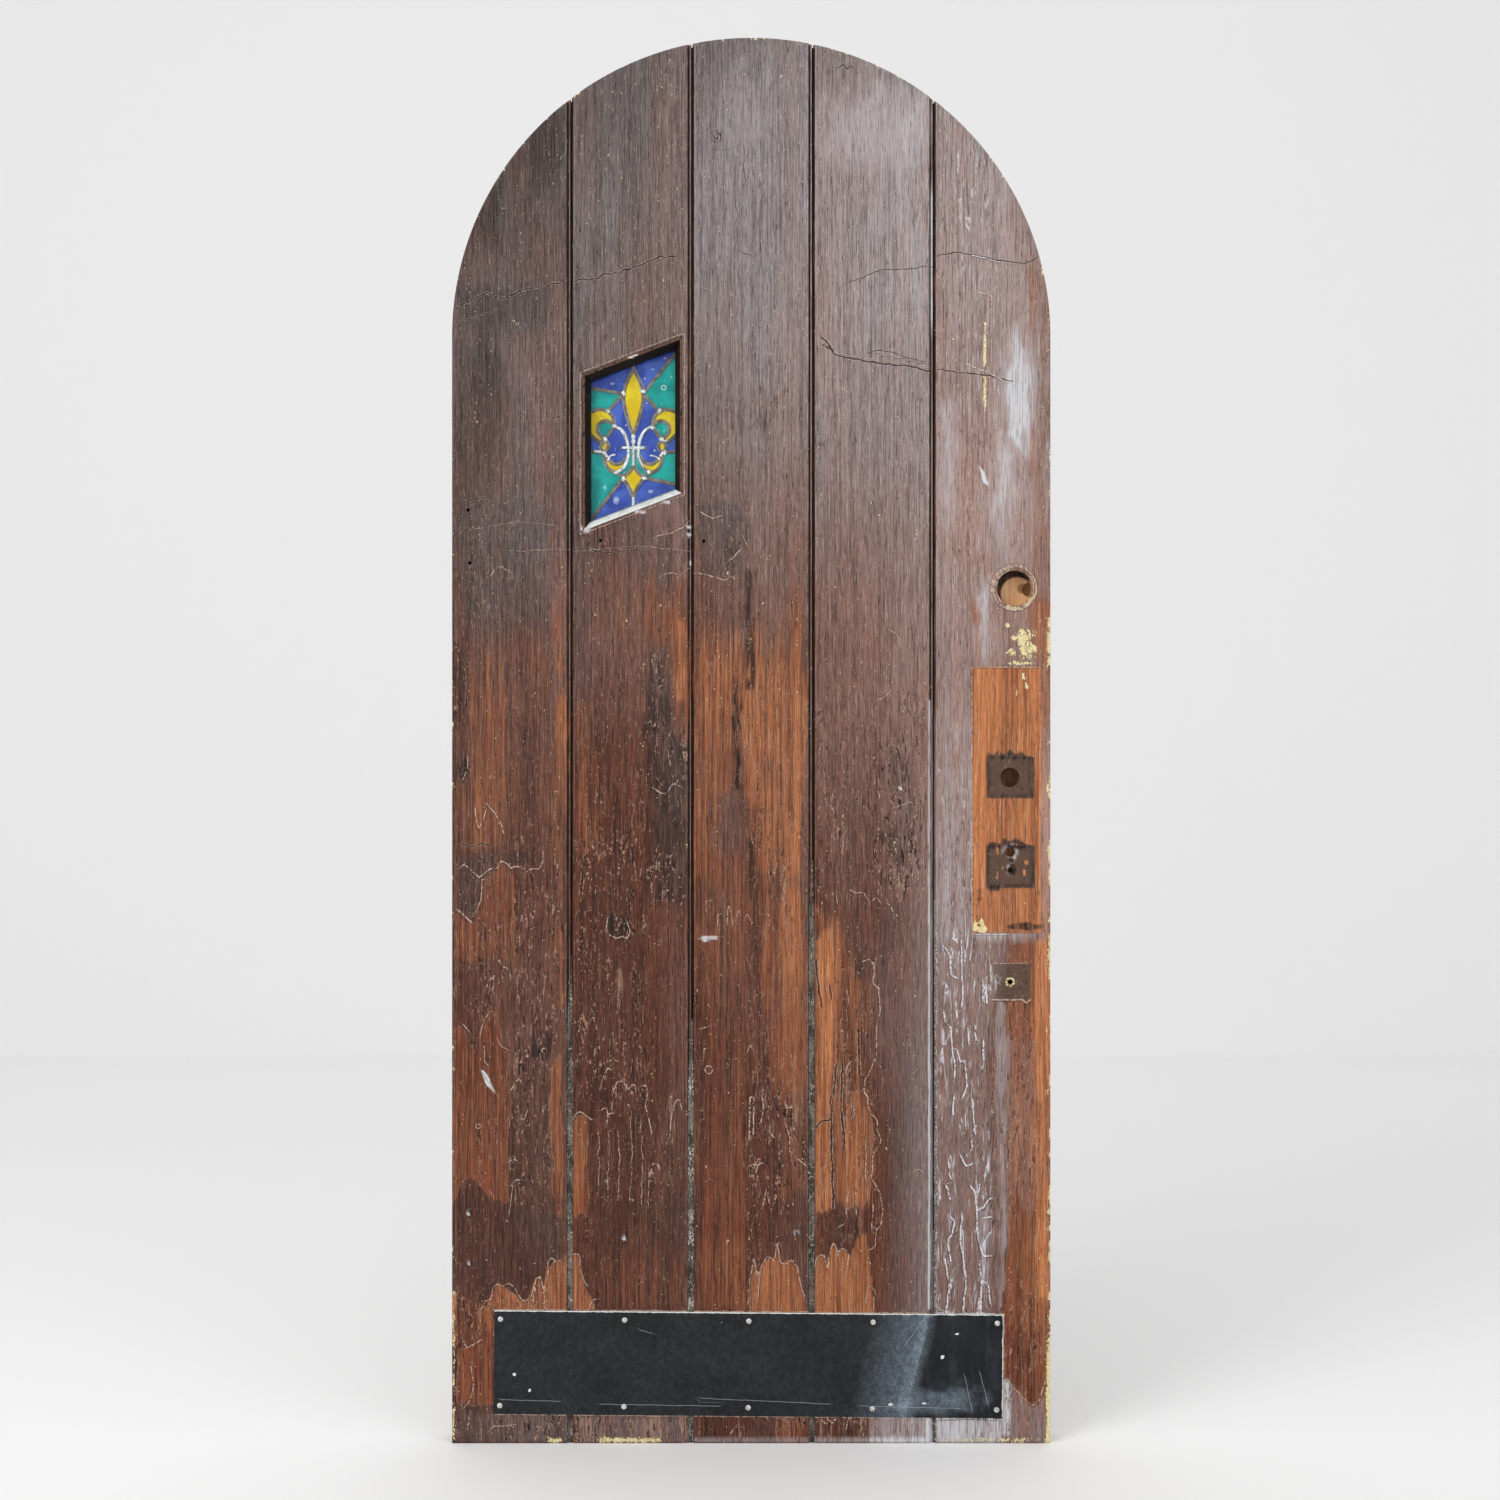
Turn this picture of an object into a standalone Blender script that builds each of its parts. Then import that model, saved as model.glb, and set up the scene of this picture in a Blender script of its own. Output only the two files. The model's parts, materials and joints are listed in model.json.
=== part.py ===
"""Arched front door leaf of five beaded planks, with a leaded stained glass light and a kick plate.

Metres, +Z up. +X runs from the hinge edge to the lock edge and the outside face looks along -Y.
The origin is on the floor of the middle hinge gain, at its mid height and half the door's thickness.
"""

import math

import bmesh
import bpy
from mathutils import Matrix, Vector
from mathutils.geometry import delaunay_2d_cdt

# The leaf. Its head is a half circle on the full width.
DOOR_WIDTH = 0.914
DOOR_HEIGHT = 2.146
DOOR_THICKNESS = 0.0445
ARCH_STEPS = 60
EDGE_EASE = 0.0012

# Tongued and grooved planks. The joints stand at one pitch about the middle of the door.
PLANK_COUNT = 5
PLANK_PITCH = 0.1846
LEFT_SLOPE_RUN = 0.0037
LEFT_SLOPE_DEPTH = 0.0045
RIGHT_SLOPE_RUN = 0.0029
RIGHT_SLOPE_DEPTH = 0.0040
BEAD_RADIUS = 0.0012
BEAD_STEPS = 6
SLOT_WIDTH = 0.0020
TONGUE_THICKNESS = 0.0110
TONGUE_LENGTH = 0.0100
PLANK_CLEARANCE = 0.0004
BACK_CHAMFER = 0.0030

# Gains for three butt hinges, cut in the hinge edge and open at the back. Heights are from the foot.
HINGE_HEIGHTS = {"bottom": 0.330, "middle": 0.900, "top": 1.470}
GAIN_LENGTH = 0.102
GAIN_WIDTH = 0.038
GAIN_DEPTH = 0.0025

# Bores of the lock stile, from the outside face. Backsets are from the lock edge, heights from the foot.
DEADBOLT_HEIGHT = 1.3055
DEADBOLT_BACKSET = 0.0545
DEADBOLT_DIAMETER = 0.0540
DEADBOLT_DEPTH = 0.0280
LATCH_DIAMETER = 0.0254
KNOB_HEIGHT = 1.0163
LOCK_BACKSET = 0.0615
KNOB_DIAMETER = 0.0300
KNOB_DEPTH = 0.0300
KEYWAY_HEIGHT = 0.9026
KEYWAY_DIAMETER = 0.0140
KEYWAY_DEPTH = 0.0260
KEYHOLE_HEIGHT = 0.8751
KEYHOLE_DIAMETER = 0.0080
NIGHT_LATCH_HEIGHT = 0.7040
NIGHT_LATCH_DIAMETER = 0.0080
BORE_SIDES = 40
SMALL_BORE_SIDES = 16

# Screw holes that a strap hinge left in the face: distance from the hinge edge, and height.
STRAP_HOLE_DIAMETER = 0.0050
STRAP_HOLE_DEPTH = 0.0120
STRAP_HOLES = ((0.0244, 1.4249), (0.0275, 1.3439), (0.2269, 1.3784), (0.3847, 1.3772))
STRAP_HOLE_SIDES = 8

# The light in the second plank: a leaning parallelogram, upright at its sides.
LIGHT_PLANK = 1
LIGHT_WIDTH = 0.1532
LIGHT_HEIGHT = 0.2410
LIGHT_RISE = 0.0586
LIGHT_OFFSET = 0.0030
LIGHT_CENTRE_HEIGHT = 1.5416
LIP_THICKNESS = 0.0105
STOP_WIDTH = 0.0118
STOP_SET_BACK = 0.0010
STOP_BEAD_RADIUS = 0.0018
STOP_BEAD_STEPS = 6
STOP_SLOPE_DEPTH = 0.0200
STOP_CLEARANCE = 0.0004

# Leaded glass, cut to the fleur-de-lis drawn below.
CAME_WIDTH = 0.0048
CAME_DEPTH = 0.0055
BORDER_WIDTH = 0.0080
BORDER_CLEARANCE = 0.0010
GLASS_THICKNESS = 0.0030
GLASS_CLEARANCE = 0.0003
CAME_STEP = 0.0055
REST_CLEARANCE = 0.0003

# Kick plate and its round-head screws.
KICK_WIDTH = 0.7773
KICK_HEIGHT = 0.1581
KICK_THICKNESS = 0.0013
KICK_CENTRE_HEIGHT = 0.1206
KICK_TILT = math.radians(0.5)
KICK_OFFSET = -0.0042
KICK_SCREW_COLUMNS = 5
KICK_SCREW_INSET = 0.0095
KICK_SCREW_DROP = 0.0130
SCREW_HEAD_DIAMETER = 0.0084
SCREW_HEAD_HEIGHT = 0.0026
SCREW_SHANK_DIAMETER = 0.0036
SCREW_LENGTH = 0.0200
SCREW_CLEARANCE = 0.0004
SCREW_STEPS = 12
SCREW_DOME_STEPS = 3

# How far a cutter runs past the surface that it opens.
OVERCUT = 0.0100

FRONT = -DOOR_THICKNESS / 2
BACK = DOOR_THICKNESS / 2
ARCH_RADIUS = DOOR_WIDTH / 2
SPRING_HEIGHT = DOOR_HEIGHT - ARCH_RADIUS
LOCK_EDGE = DOOR_WIDTH

# The drawing's unit is the clear width of the light, and its middle is the light's.
SIGHT_WIDTH = LIGHT_WIDTH - 2 * STOP_WIDTH
SHEAR = LIGHT_RISE / LIGHT_WIDTH

# The kind of cutting-up that keeps only what lies inside an outline.
INSIDE_ONLY = 1

COLOURS = {
    "plank": ((0.115, 0.052, 0.030), 0.45, 0.0),
    "stop": ((0.045, 0.026, 0.019), 0.45, 0.0),
    "white_paint": ((0.72, 0.74, 0.72), 0.50, 0.0),
    "lead": ((0.30, 0.29, 0.28), 0.45, 0.8),
    "blue_glass": ((0.055, 0.095, 0.46), 0.12, 0.0),
    "green_glass": ((0.010, 0.33, 0.27), 0.12, 0.0),
    "yellow_glass": ((0.80, 0.60, 0.02), 0.12, 0.0),
    "kick_plate": ((0.012, 0.014, 0.016), 0.35, 0.2),
    "screw": ((0.62, 0.62, 0.60), 0.30, 0.9),
}


def start_scene():
    """Empties the scene and returns the door's collection and the leaf's own frame.

    The frame stands at the foot of the hinge edge, and the origin is the middle gain's floor.
    """
    for obj in list(bpy.data.objects):
        bpy.data.objects.remove(obj)
    parts = bpy.data.collections.new("arched_front_door")
    bpy.context.scene.collection.children.link(parts)
    leaf = bpy.data.objects.new("leaf_frame", None)
    leaf.location = (-GAIN_DEPTH, 0, -HINGE_HEIGHTS["middle"])
    parts.objects.link(leaf)
    return parts, leaf


PARTS, LEAF = start_scene()


def cutter_collection(name):
    made = bpy.data.collections.new(name)
    bpy.context.scene.collection.children.link(made)
    return made


def material(name):
    """The Principled material of that name from COLOURS, made once."""
    made = bpy.data.materials.get(name)
    if made is None:
        colour, roughness, metallic = COLOURS[name]
        made = bpy.data.materials.new(name)
        made.use_nodes = True
        shader = made.node_tree.nodes["Principled BSDF"]
        shader.inputs["Base Color"].default_value = (*colour, 1)
        shader.inputs["Roughness"].default_value = roughness
        shader.inputs["Metallic"].default_value = metallic
    return made


def placed(mesh, name, finish, rotation=(0, 0, 0), location=(0, 0, 0)):
    """A piece of the door: the mesh as a named object on the leaf, in its finish."""
    obj = bpy.data.objects.new(name, mesh)
    obj.location = location
    obj.rotation_euler = rotation
    obj.parent = LEAF
    if not mesh.materials:
        mesh.materials.append(material(finish))
    PARTS.objects.link(obj)
    return obj


def cutter(mesh, name, home, rotation=(0, 0, 0)):
    """A shape that only works on others, in its cutters' collection."""
    obj = bpy.data.objects.new(name, mesh)
    obj.rotation_euler = rotation
    obj.parent = LEAF
    obj.hide_render = True
    obj.display_type = "WIRE"
    home.objects.link(obj)
    return obj


def combine(obj, operation, cutters):
    """Joins or takes away a whole collection of shapes."""
    work = obj.modifiers.new(cutters.name, "BOOLEAN")
    work.operation = operation
    work.operand_type = "COLLECTION"
    work.collection = cutters


def applied(obj):
    """The object's mesh with its modifiers applied."""
    bpy.context.view_layer.update()
    graph = bpy.context.evaluated_depsgraph_get()
    return bpy.data.meshes.new_from_object(obj.evaluated_get(graph))


def prism(low, high, *outlines):
    """A mesh: flat outlines, the first one filled and the others left open in it, extruded from low to high."""
    curve = bpy.data.curves.new("outline", "CURVE")
    curve.dimensions = "2D"
    curve.fill_mode = "BOTH"
    curve.extrude = (high - low) / 2
    for points in outlines:
        spline = curve.splines.new("POLY")
        spline.points.add(len(points) - 1)
        for place, (x, y) in zip(spline.points, points):
            place.co = (x, y, 0, 1)
        spline.use_cyclic_u = True
    drawn = bpy.data.objects.new("outline", curve)
    PARTS.objects.link(drawn)
    mesh = applied(drawn)
    bpy.data.objects.remove(drawn)
    shape = bmesh.new()
    shape.from_mesh(mesh)
    bmesh.ops.translate(shape, verts=shape.verts, vec=(0, 0, (low + high) / 2))
    bmesh.ops.remove_doubles(shape, verts=shape.verts, dist=1e-6)
    bmesh.ops.recalc_face_normals(shape, faces=shape.faces)
    shape.to_mesh(mesh)
    shape.free()
    return mesh


# Turns an outline drawn in X and Z so that its own Z points out of the door's front.
UPRIGHT = (math.radians(90), 0, 0)


def upright_prism(front, back, *outlines):
    """A prism whose outline stands in the door's plane, between two depths along Y."""
    return prism(-back, -front, *outlines)


def cylinder(radius, start, end, sides):
    """A mesh: a closed cylinder between two points."""
    start, end = Vector(start), Vector(end)
    along = end - start
    turn = along.to_track_quat("Z", "Y").to_matrix().to_4x4()
    shape = bmesh.new()
    bmesh.ops.create_cone(
        shape,
        cap_ends=True,
        segments=sides,
        radius1=radius,
        radius2=radius,
        depth=along.length,
        matrix=Matrix.Translation((start + end) / 2) @ turn,
    )
    mesh = bpy.data.meshes.new("bore")
    shape.to_mesh(mesh)
    shape.free()
    return mesh


def block(low, high):
    """A mesh: a box between two corners."""
    low, high = Vector(low), Vector(high)
    shape = bmesh.new()
    bmesh.ops.create_cube(shape, size=1)
    bmesh.ops.scale(shape, verts=shape.verts, vec=high - low)
    bmesh.ops.translate(shape, verts=shape.verts, vec=(low + high) / 2)
    mesh = bpy.data.meshes.new("block")
    shape.to_mesh(mesh)
    shape.free()
    return mesh


def joint_lines():
    """The X of each plank's left and right edge line, from the hinge edge to the lock edge."""
    first = DOOR_WIDTH / 2 - PLANK_PITCH * (PLANK_COUNT - 2) / 2
    joints = [first + PLANK_PITCH * n for n in range(PLANK_COUNT - 1)]
    return [0.0, *joints, LOCK_EDGE]


# Where the parts of a joint stand, from the joint line: the bead's far side is the tongued plank's shoulder.
MOUTH_WIDTH = LEFT_SLOPE_RUN + 2 * BEAD_RADIUS + SLOT_WIDTH + RIGHT_SLOPE_RUN
MOUTH_LEFT = -MOUTH_WIDTH / 2
MOUTH_RIGHT = MOUTH_WIDTH / 2
BEAD_CENTRE = MOUTH_LEFT + LEFT_SLOPE_RUN + BEAD_RADIUS
SHOULDER = BEAD_CENTRE + BEAD_RADIUS
SLOT_END = SHOULDER + SLOT_WIDTH


def tongued_edge(line):
    """Outline of a plank's tongued edge from the front to the back: slope, bead, shoulder and tongue."""
    foot = FRONT + LEFT_SLOPE_DEPTH
    bead = []
    for n in range(BEAD_STEPS + 1):
        angle = math.pi * (1 - n / BEAD_STEPS)
        bead.append((line + BEAD_CENTRE + BEAD_RADIUS * math.cos(angle), foot - BEAD_RADIUS * math.sin(angle)))
    shoulder = line + SHOULDER
    half = TONGUE_THICKNESS / 2
    return [
        (line + MOUTH_LEFT, FRONT),
        *bead,
        (shoulder, -half),
        (shoulder + TONGUE_LENGTH, -half),
        (shoulder + TONGUE_LENGTH, half),
        (shoulder, half),
        (shoulder, BACK - BACK_CHAMFER),
        (shoulder - BACK_CHAMFER, BACK),
    ]


def grooved_edge(line):
    """Outline of a plank's grooved edge from the front to the back, clear of the tongue that it takes."""
    half = TONGUE_THICKNESS / 2 + PLANK_CLEARANCE
    floor = line + SHOULDER + TONGUE_LENGTH + PLANK_CLEARANCE
    back_shoulder = line + SHOULDER + PLANK_CLEARANCE
    return [
        (line + MOUTH_RIGHT, FRONT),
        (line + SLOT_END, FRONT + RIGHT_SLOPE_DEPTH),
        (line + SLOT_END, -half),
        (floor, -half),
        (floor, half),
        (back_shoulder, half),
        (back_shoulder, BACK - BACK_CHAMFER),
        (back_shoulder + BACK_CHAMFER, BACK),
    ]


def eased_edge(line, inward):
    """Outline of an outer edge of the leaf from the front to the back. inward is 1 or -1, towards the plank."""
    return [
        (line + inward * EDGE_EASE, FRONT),
        (line, FRONT + EDGE_EASE),
        (line, BACK - EDGE_EASE),
        (line + inward * EDGE_EASE, BACK),
    ]


def plank_section(lines, index):
    """Closed outline of one plank, seen from above."""
    left = grooved_edge(lines[index]) if index else eased_edge(lines[0], 1)
    last = index == PLANK_COUNT - 1
    right = eased_edge(LOCK_EDGE, -1) if last else tongued_edge(lines[index + 1])
    return left + right[::-1]


def add_arch_cutter(cutters):
    """All that lies outside the half-round head."""
    top = DOOR_HEIGHT + OVERCUT
    outline = [(DOOR_WIDTH + OVERCUT, top), (-OVERCUT, top), (-OVERCUT, SPRING_HEIGHT)]
    for n in range(ARCH_STEPS + 1):
        angle = math.pi * (1 - n / ARCH_STEPS)
        outline.append(
            (ARCH_RADIUS * (1 + math.cos(angle)), SPRING_HEIGHT + ARCH_RADIUS * math.sin(angle))
        )
    outline.append((DOOR_WIDTH + OVERCUT, SPRING_HEIGHT))
    cutter(upright_prism(FRONT - OVERCUT, BACK + OVERCUT, outline), "arch_cutter", cutters, UPRIGHT)


def add_bores(cutters):
    """The deadbolt's two crossing bores, the other bores of the lock stile, and the strap hinge's screw holes."""
    deadbolt = LOCK_EDGE - DEADBOLT_BACKSET
    lock = LOCK_EDGE - LOCK_BACKSET
    bores = {
        "deadbolt": (deadbolt, DEADBOLT_HEIGHT, DEADBOLT_DIAMETER, DEADBOLT_DEPTH, BORE_SIDES),
        "knob": (lock, KNOB_HEIGHT, KNOB_DIAMETER, KNOB_DEPTH, BORE_SIDES),
        "keyway": (lock, KEYWAY_HEIGHT, KEYWAY_DIAMETER, KEYWAY_DEPTH, SMALL_BORE_SIDES),
        "keyhole": (lock, KEYHOLE_HEIGHT, KEYHOLE_DIAMETER, KEYWAY_DEPTH, SMALL_BORE_SIDES),
        "night_latch": (lock, NIGHT_LATCH_HEIGHT, NIGHT_LATCH_DIAMETER, KEYWAY_DEPTH, SMALL_BORE_SIDES),
    }
    for n, (x, height) in enumerate(STRAP_HOLES):
        bores[f"strap_hole_{n + 1}"] = (x, height, STRAP_HOLE_DIAMETER, STRAP_HOLE_DEPTH, STRAP_HOLE_SIDES)
    for name, (x, height, diameter, depth, sides) in bores.items():
        mesh = cylinder(diameter / 2, (x, FRONT - OVERCUT, height), (x, FRONT + depth, height), sides)
        cutter(mesh, f"{name}_cutter", cutters)
    start = (deadbolt, 0, DEADBOLT_HEIGHT)
    end = (LOCK_EDGE + OVERCUT, 0, DEADBOLT_HEIGHT)
    cutter(cylinder(LATCH_DIAMETER / 2, start, end, SMALL_BORE_SIDES), "latch_cutter", cutters)


def add_gains(cutters):
    """One shallow mortise in the hinge edge for each hinge leaf."""
    for name, height in HINGE_HEIGHTS.items():
        low = (-OVERCUT, BACK - GAIN_WIDTH, height - GAIN_LENGTH / 2)
        high = (GAIN_DEPTH, BACK + OVERCUT, height + GAIN_LENGTH / 2)
        cutter(block(low, high), f"{name}_gain_cutter", cutters)


def light_centre(lines):
    """The X of the light's middle, in its plank."""
    return (lines[LIGHT_PLANK] + lines[LIGHT_PLANK + 1]) / 2 + LIGHT_OFFSET


def light_corners(centre, inset):
    """The light's corners in the door's plane, from lower left to upper left, brought in by inset on all sides."""
    half_width = LIGHT_WIDTH / 2 - inset
    half_height = LIGHT_HEIGHT / 2 - inset * math.hypot(1, SHEAR)
    return [
        (centre + side * half_width, LIGHT_CENTRE_HEIGHT + side * half_width * SHEAR + up * half_height)
        for side, up in ((-1, -1), (1, -1), (1, 1), (-1, 1))
    ]


def add_light(cutters, centre):
    """The opening from the front down to its lip, and the clear opening through the lip."""
    lip = BACK - LIP_THICKNESS
    cutter(upright_prism(FRONT - OVERCUT, lip, light_corners(centre, 0)), "light_cutter", cutters, UPRIGHT)
    cutter(upright_prism(0, BACK + OVERCUT, light_corners(centre, STOP_WIDTH)), "sight_cutter", cutters, UPRIGHT)


def stop_profile():
    """The window stop in section, as (inset from the opening, depth from the door's face)."""
    depth = DOOR_THICKNESS - LIP_THICKNESS - REST_CLEARANCE - CAME_DEPTH - REST_CLEARANCE
    bead = []
    for n in range(STOP_BEAD_STEPS + 1):
        angle = math.pi * (1 - n / STOP_BEAD_STEPS)
        inset = STOP_CLEARANCE + STOP_BEAD_RADIUS * (1 + math.cos(angle))
        bead.append((inset, STOP_SET_BACK + STOP_BEAD_RADIUS * (1 - math.sin(angle))))
    return [*bead, (STOP_WIDTH, min(STOP_SLOPE_DEPTH, depth / 2)), (STOP_WIDTH, depth), (STOP_CLEARANCE, depth)]


def make_stops(centre):
    """Four moulded stops that hold the glass from the front, mitred at the corners. The lowest is the white sill."""
    for side, name in enumerate(("window_sill", "right_window_stop", "top_window_stop", "left_window_stop")):
        shape = bmesh.new()
        rings = []
        for end, other in ((side, side + 1), (side + 1, side)):
            ring = []
            for inset, depth in stop_profile():
                corners = [Vector(c) for c in light_corners(centre, inset)]
                corner = corners[end % 4]
                along = (corners[other % 4] - corner).normalized()
                x, z = corner + along * STOP_CLEARANCE
                ring.append(shape.verts.new((x, FRONT + depth, z)))
            rings.append(ring)
        first, last = rings
        for n in range(len(first)):
            m = (n + 1) % len(first)
            shape.faces.new((first[n], first[m], last[m], last[n]))
        shape.faces.new(first)
        shape.faces.new(last[::-1])
        bmesh.ops.recalc_face_normals(shape, faces=shape.faces)
        mesh = bpy.data.meshes.new(name)
        shape.to_mesh(mesh)
        shape.free()
        placed(mesh, name, "white_paint" if name == "window_sill" else "stop")


# The fleur-de-lis is drawn in shares of the clear width, from the light's middle. Where the left half's leads meet:
PETAL_SHOULDER = (-0.115, 0.510)
VOLUTE_CREST = (-0.302, 0.300)
VOLUTE_SPLIT = (-0.224, 0.125)
VOLUTE_EYE = (-0.335, -0.035)
TAIL_END = (-0.345, -0.200)
BAND = (-0.060, -0.135)
CURL_FOOT = (-0.205, -0.430)
DIAMOND_SIDE = (-0.118, -0.490)
# The petal and the diamond on the axis, and the band across it:
PETAL_TOP = 0.800
PETAL_FOOT = 0.020
DIAMOND_TOP = -0.345
DIAMOND_FOOT = -0.720
BAND_HALF = 0.135
# How far past the clear opening a lead runs, to end in the border:
PAST_SIGHT = 0.045
EDGE = 0.5 + PAST_SIGHT


def edge_height(x, up):
    """Height of the clear opening's top (up 1) or foot (up -1) at x, run on into the border."""
    half = (LIGHT_HEIGHT / 2 - STOP_WIDTH * math.hypot(1, SHEAR)) / SIGHT_WIDTH
    return x * SHEAR + up * (half + PAST_SIGHT)


def half_drawing():
    """The leads of the left half, each a list of points that a smooth line goes through."""
    return [
        [(0, PETAL_TOP), (-0.070, 0.665), PETAL_SHOULDER, (-0.100, 0.340), (-0.045, 0.140), (0, PETAL_FOOT)],
        [PETAL_SHOULDER, VOLUTE_CREST],
        [VOLUTE_SPLIT, (-0.245, 0.225), VOLUTE_CREST, (-0.360, 0.320), (-0.430, 0.318), (-EDGE, 0.275)],
        [VOLUTE_SPLIT, (-0.285, 0.176), (-0.358, 0.182), (-0.420, 0.130), (-0.418, 0.040), VOLUTE_EYE],
        [(-EDGE, 0.060), (-0.462, -0.020), (-0.392, -0.062), VOLUTE_EYE],
        [VOLUTE_SPLIT, VOLUTE_EYE],
        [VOLUTE_SPLIT, (-0.135, 0.067), (-0.082, -0.030), BAND],
        [VOLUTE_EYE, (-0.390, -0.120), TAIL_END],
        [VOLUTE_EYE, (-0.295, -0.120), TAIL_END],
        [TAIL_END, (-EDGE, -0.170)],
        [BAND, (-0.062, -0.250), (-0.122, -0.375), CURL_FOOT, (-0.290, -0.390), (-0.338, -0.300), TAIL_END],
        [(-0.062, -0.215), (-0.120, -0.298), (-0.205, -0.330), (-0.268, -0.300), TAIL_END],
        [CURL_FOOT, DIAMOND_SIDE],
        [(0, DIAMOND_TOP), (-0.050, -0.425), DIAMOND_SIDE, (-0.052, -0.600), (0, DIAMOND_FOOT)],
    ]


def whole_drawing():
    """Every lead: both halves, those on the axis, and the straight ones that run out to the leaning frame."""
    left = half_drawing()
    right = [[(-x, z) for x, z in lead] for lead in left]
    shoulder_x, shoulder_z = PETAL_SHOULDER
    side_x, side_z = DIAMOND_SIDE
    return [
        *left,
        *right,
        [(0, PETAL_FOOT), (0, DIAMOND_TOP)],
        [(0, DIAMOND_FOOT), (0, edge_height(0, -1))],
        [(0, PETAL_TOP), (0, edge_height(0, 1))],
        [(-BAND_HALF, BAND[1]), (BAND_HALF, BAND[1])],
        [(shoulder_x, shoulder_z), (-EDGE, edge_height(-EDGE, 1) - 2 * PAST_SIGHT)],
        [(-shoulder_x, shoulder_z), (EDGE, edge_height(EDGE, 1) - PAST_SIGHT)],
        [(side_x, side_z), (-EDGE, edge_height(-EDGE, -1) + PAST_SIGHT)],
        [(-side_x, side_z), (EDGE, edge_height(EDGE, -1) + 2 * PAST_SIGHT)],
    ]


def smooth_line(points, step):
    """Points about a step apart on a smooth line through the given ones. Two points give a straight line."""
    places = [Vector(p) for p in points]
    if len(places) == 2:
        return places
    knots = [2 * places[0] - places[1], *places, 2 * places[-1] - places[-2]]
    line = [places[0]]
    for a, b, c, d in zip(knots, knots[1:], knots[2:], knots[3:]):
        pieces = max(1, round((c - b).length / step))
        for n in range(1, pieces + 1):
            t = n / pieces
            bend = 2 * a - 5 * b + 4 * c - d
            turn = 3 * (b - c) + d - a
            line.append(0.5 * (2 * b + t * (c - a) + t * t * bend + t * t * t * turn))
    return line


def strip_outline(line, width):
    """Outline of a strip along a line, run on by half a width at both ends so that strips meet."""
    first = (line[1] - line[0]).normalized()
    last = (line[-1] - line[-2]).normalized()
    line = [line[0] - first * width / 2, *line[1:-1], line[-1] + last * width / 2]
    ways = [(b - a).normalized() for a, b in zip(line, line[1:])]
    left, right = [], []
    for place, before, after in zip(line, [ways[0], *ways], [*ways, ways[-1]]):
        along = (before + after).normalized()
        across = Vector((-along.y, along.x)) * width / 2 / along.dot(before)
        left.append(place + across)
        right.append(place - across)
    return right + left[::-1]


def pane_outlines(centre, width, inset):
    """The outlines that leads of a given width leave open in a sheet set in from the light's edge by inset."""
    middle = Vector((centre, LIGHT_CENTRE_HEIGHT))
    outlines = [[Vector(corner) for corner in light_corners(centre, inset)]]
    for lead in whole_drawing():
        line = [middle + SIGHT_WIDTH * p for p in smooth_line(lead, CAME_STEP / SIGHT_WIDTH)]
        outlines.append(strip_outline(line, width))
    places, rings = [], []
    for outline in outlines:
        rings.append(list(range(len(places), len(places) + len(outline))))
        places += outline
    cells = delaunay_2d_cdt(places, [], rings, INSIDE_ONLY, 1e-7)
    shape = bmesh.new()
    corners = [shape.verts.new((*place, 0)) for place in cells[0]]
    for ring, owners in zip(cells[2], cells[5]):
        if owners == [0]:
            shape.faces.new([corners[n] for n in ring])
    bmesh.ops.delete(shape, geom=[v for v in shape.verts if not v.link_faces], context="VERTS")
    flat = math.radians(0.5)
    bmesh.ops.dissolve_limit(shape, angle_limit=flat, verts=shape.verts, edges=shape.edges)
    opened = [[v.co.xy for v in face.verts] for face in shape.faces]
    shape.free()
    return opened


# The panes by name, with their glass and a point of each in the drawing. Those of the left half have twins.
AXIS_PANES = {
    "petal_pane": ("yellow_glass", (0, 0.43)),
    "diamond_pane": ("yellow_glass", (0, -0.51)),
}
SIDE_PANES = {
    "volute_pane": ("yellow_glass", (-0.410, 0.190)),
    "tail_pane": ("yellow_glass", (-0.343, -0.119)),
    "curl_pane": ("yellow_glass", (-0.215, -0.375)),
    "breast_pane": ("blue_glass", (-0.165, 0.280)),
    "heart_pane": ("blue_glass", (-0.190, -0.130)),
    "edge_pane": ("blue_glass", (-0.450, -0.110)),
    "eye_pane": ("green_glass", (-0.340, 0.090)),
    "throat_pane": ("green_glass", (-0.075, -0.370)),
}
# These lie against the leaning head and foot of the light, so their twins aren't mirrored.
LEANING_PANES = {
    "left_head_pane": ("blue_glass", (-0.220, 0.650)),
    "right_head_pane": ("blue_glass", (0.170, 0.790)),
    "left_shoulder_pane": ("green_glass", (-0.380, 0.440)),
    "right_shoulder_pane": ("green_glass", (0.380, 0.560)),
    "left_flank_pane": ("green_glass", (-0.400, -0.560)),
    "right_flank_pane": ("green_glass", (0.400, -0.400)),
    "left_foot_pane": ("blue_glass", (-0.200, -0.780)),
    "right_foot_pane": ("blue_glass", (0.200, -0.650)),
}


def pane_places():
    places = {**AXIS_PANES, **LEANING_PANES}
    for name, (glass, (x, z)) in SIDE_PANES.items():
        places[f"left_{name}"] = (glass, (x, z))
        places[f"right_{name}"] = (glass, (-x, z))
    return places


def name_panes(outlines, centre):
    """Gives each pane the nearest name, each name once."""
    places = pane_places()
    pairs = []
    for n, outline in enumerate(outlines):
        middle = sum(outline, Vector((0, 0))) / len(outline)
        drawn = (middle - Vector((centre, LIGHT_CENTRE_HEIGHT))) / SIGHT_WIDTH
        pairs += [((Vector(place) - drawn).length, n, name) for name, (_, place) in places.items()]
    named = {}
    for _, n, name in sorted(pairs):
        if n not in named.values() and name not in named:
            named[name] = n
    return {name: (places[name][0], outlines[n]) for name, n in named.items()}


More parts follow.
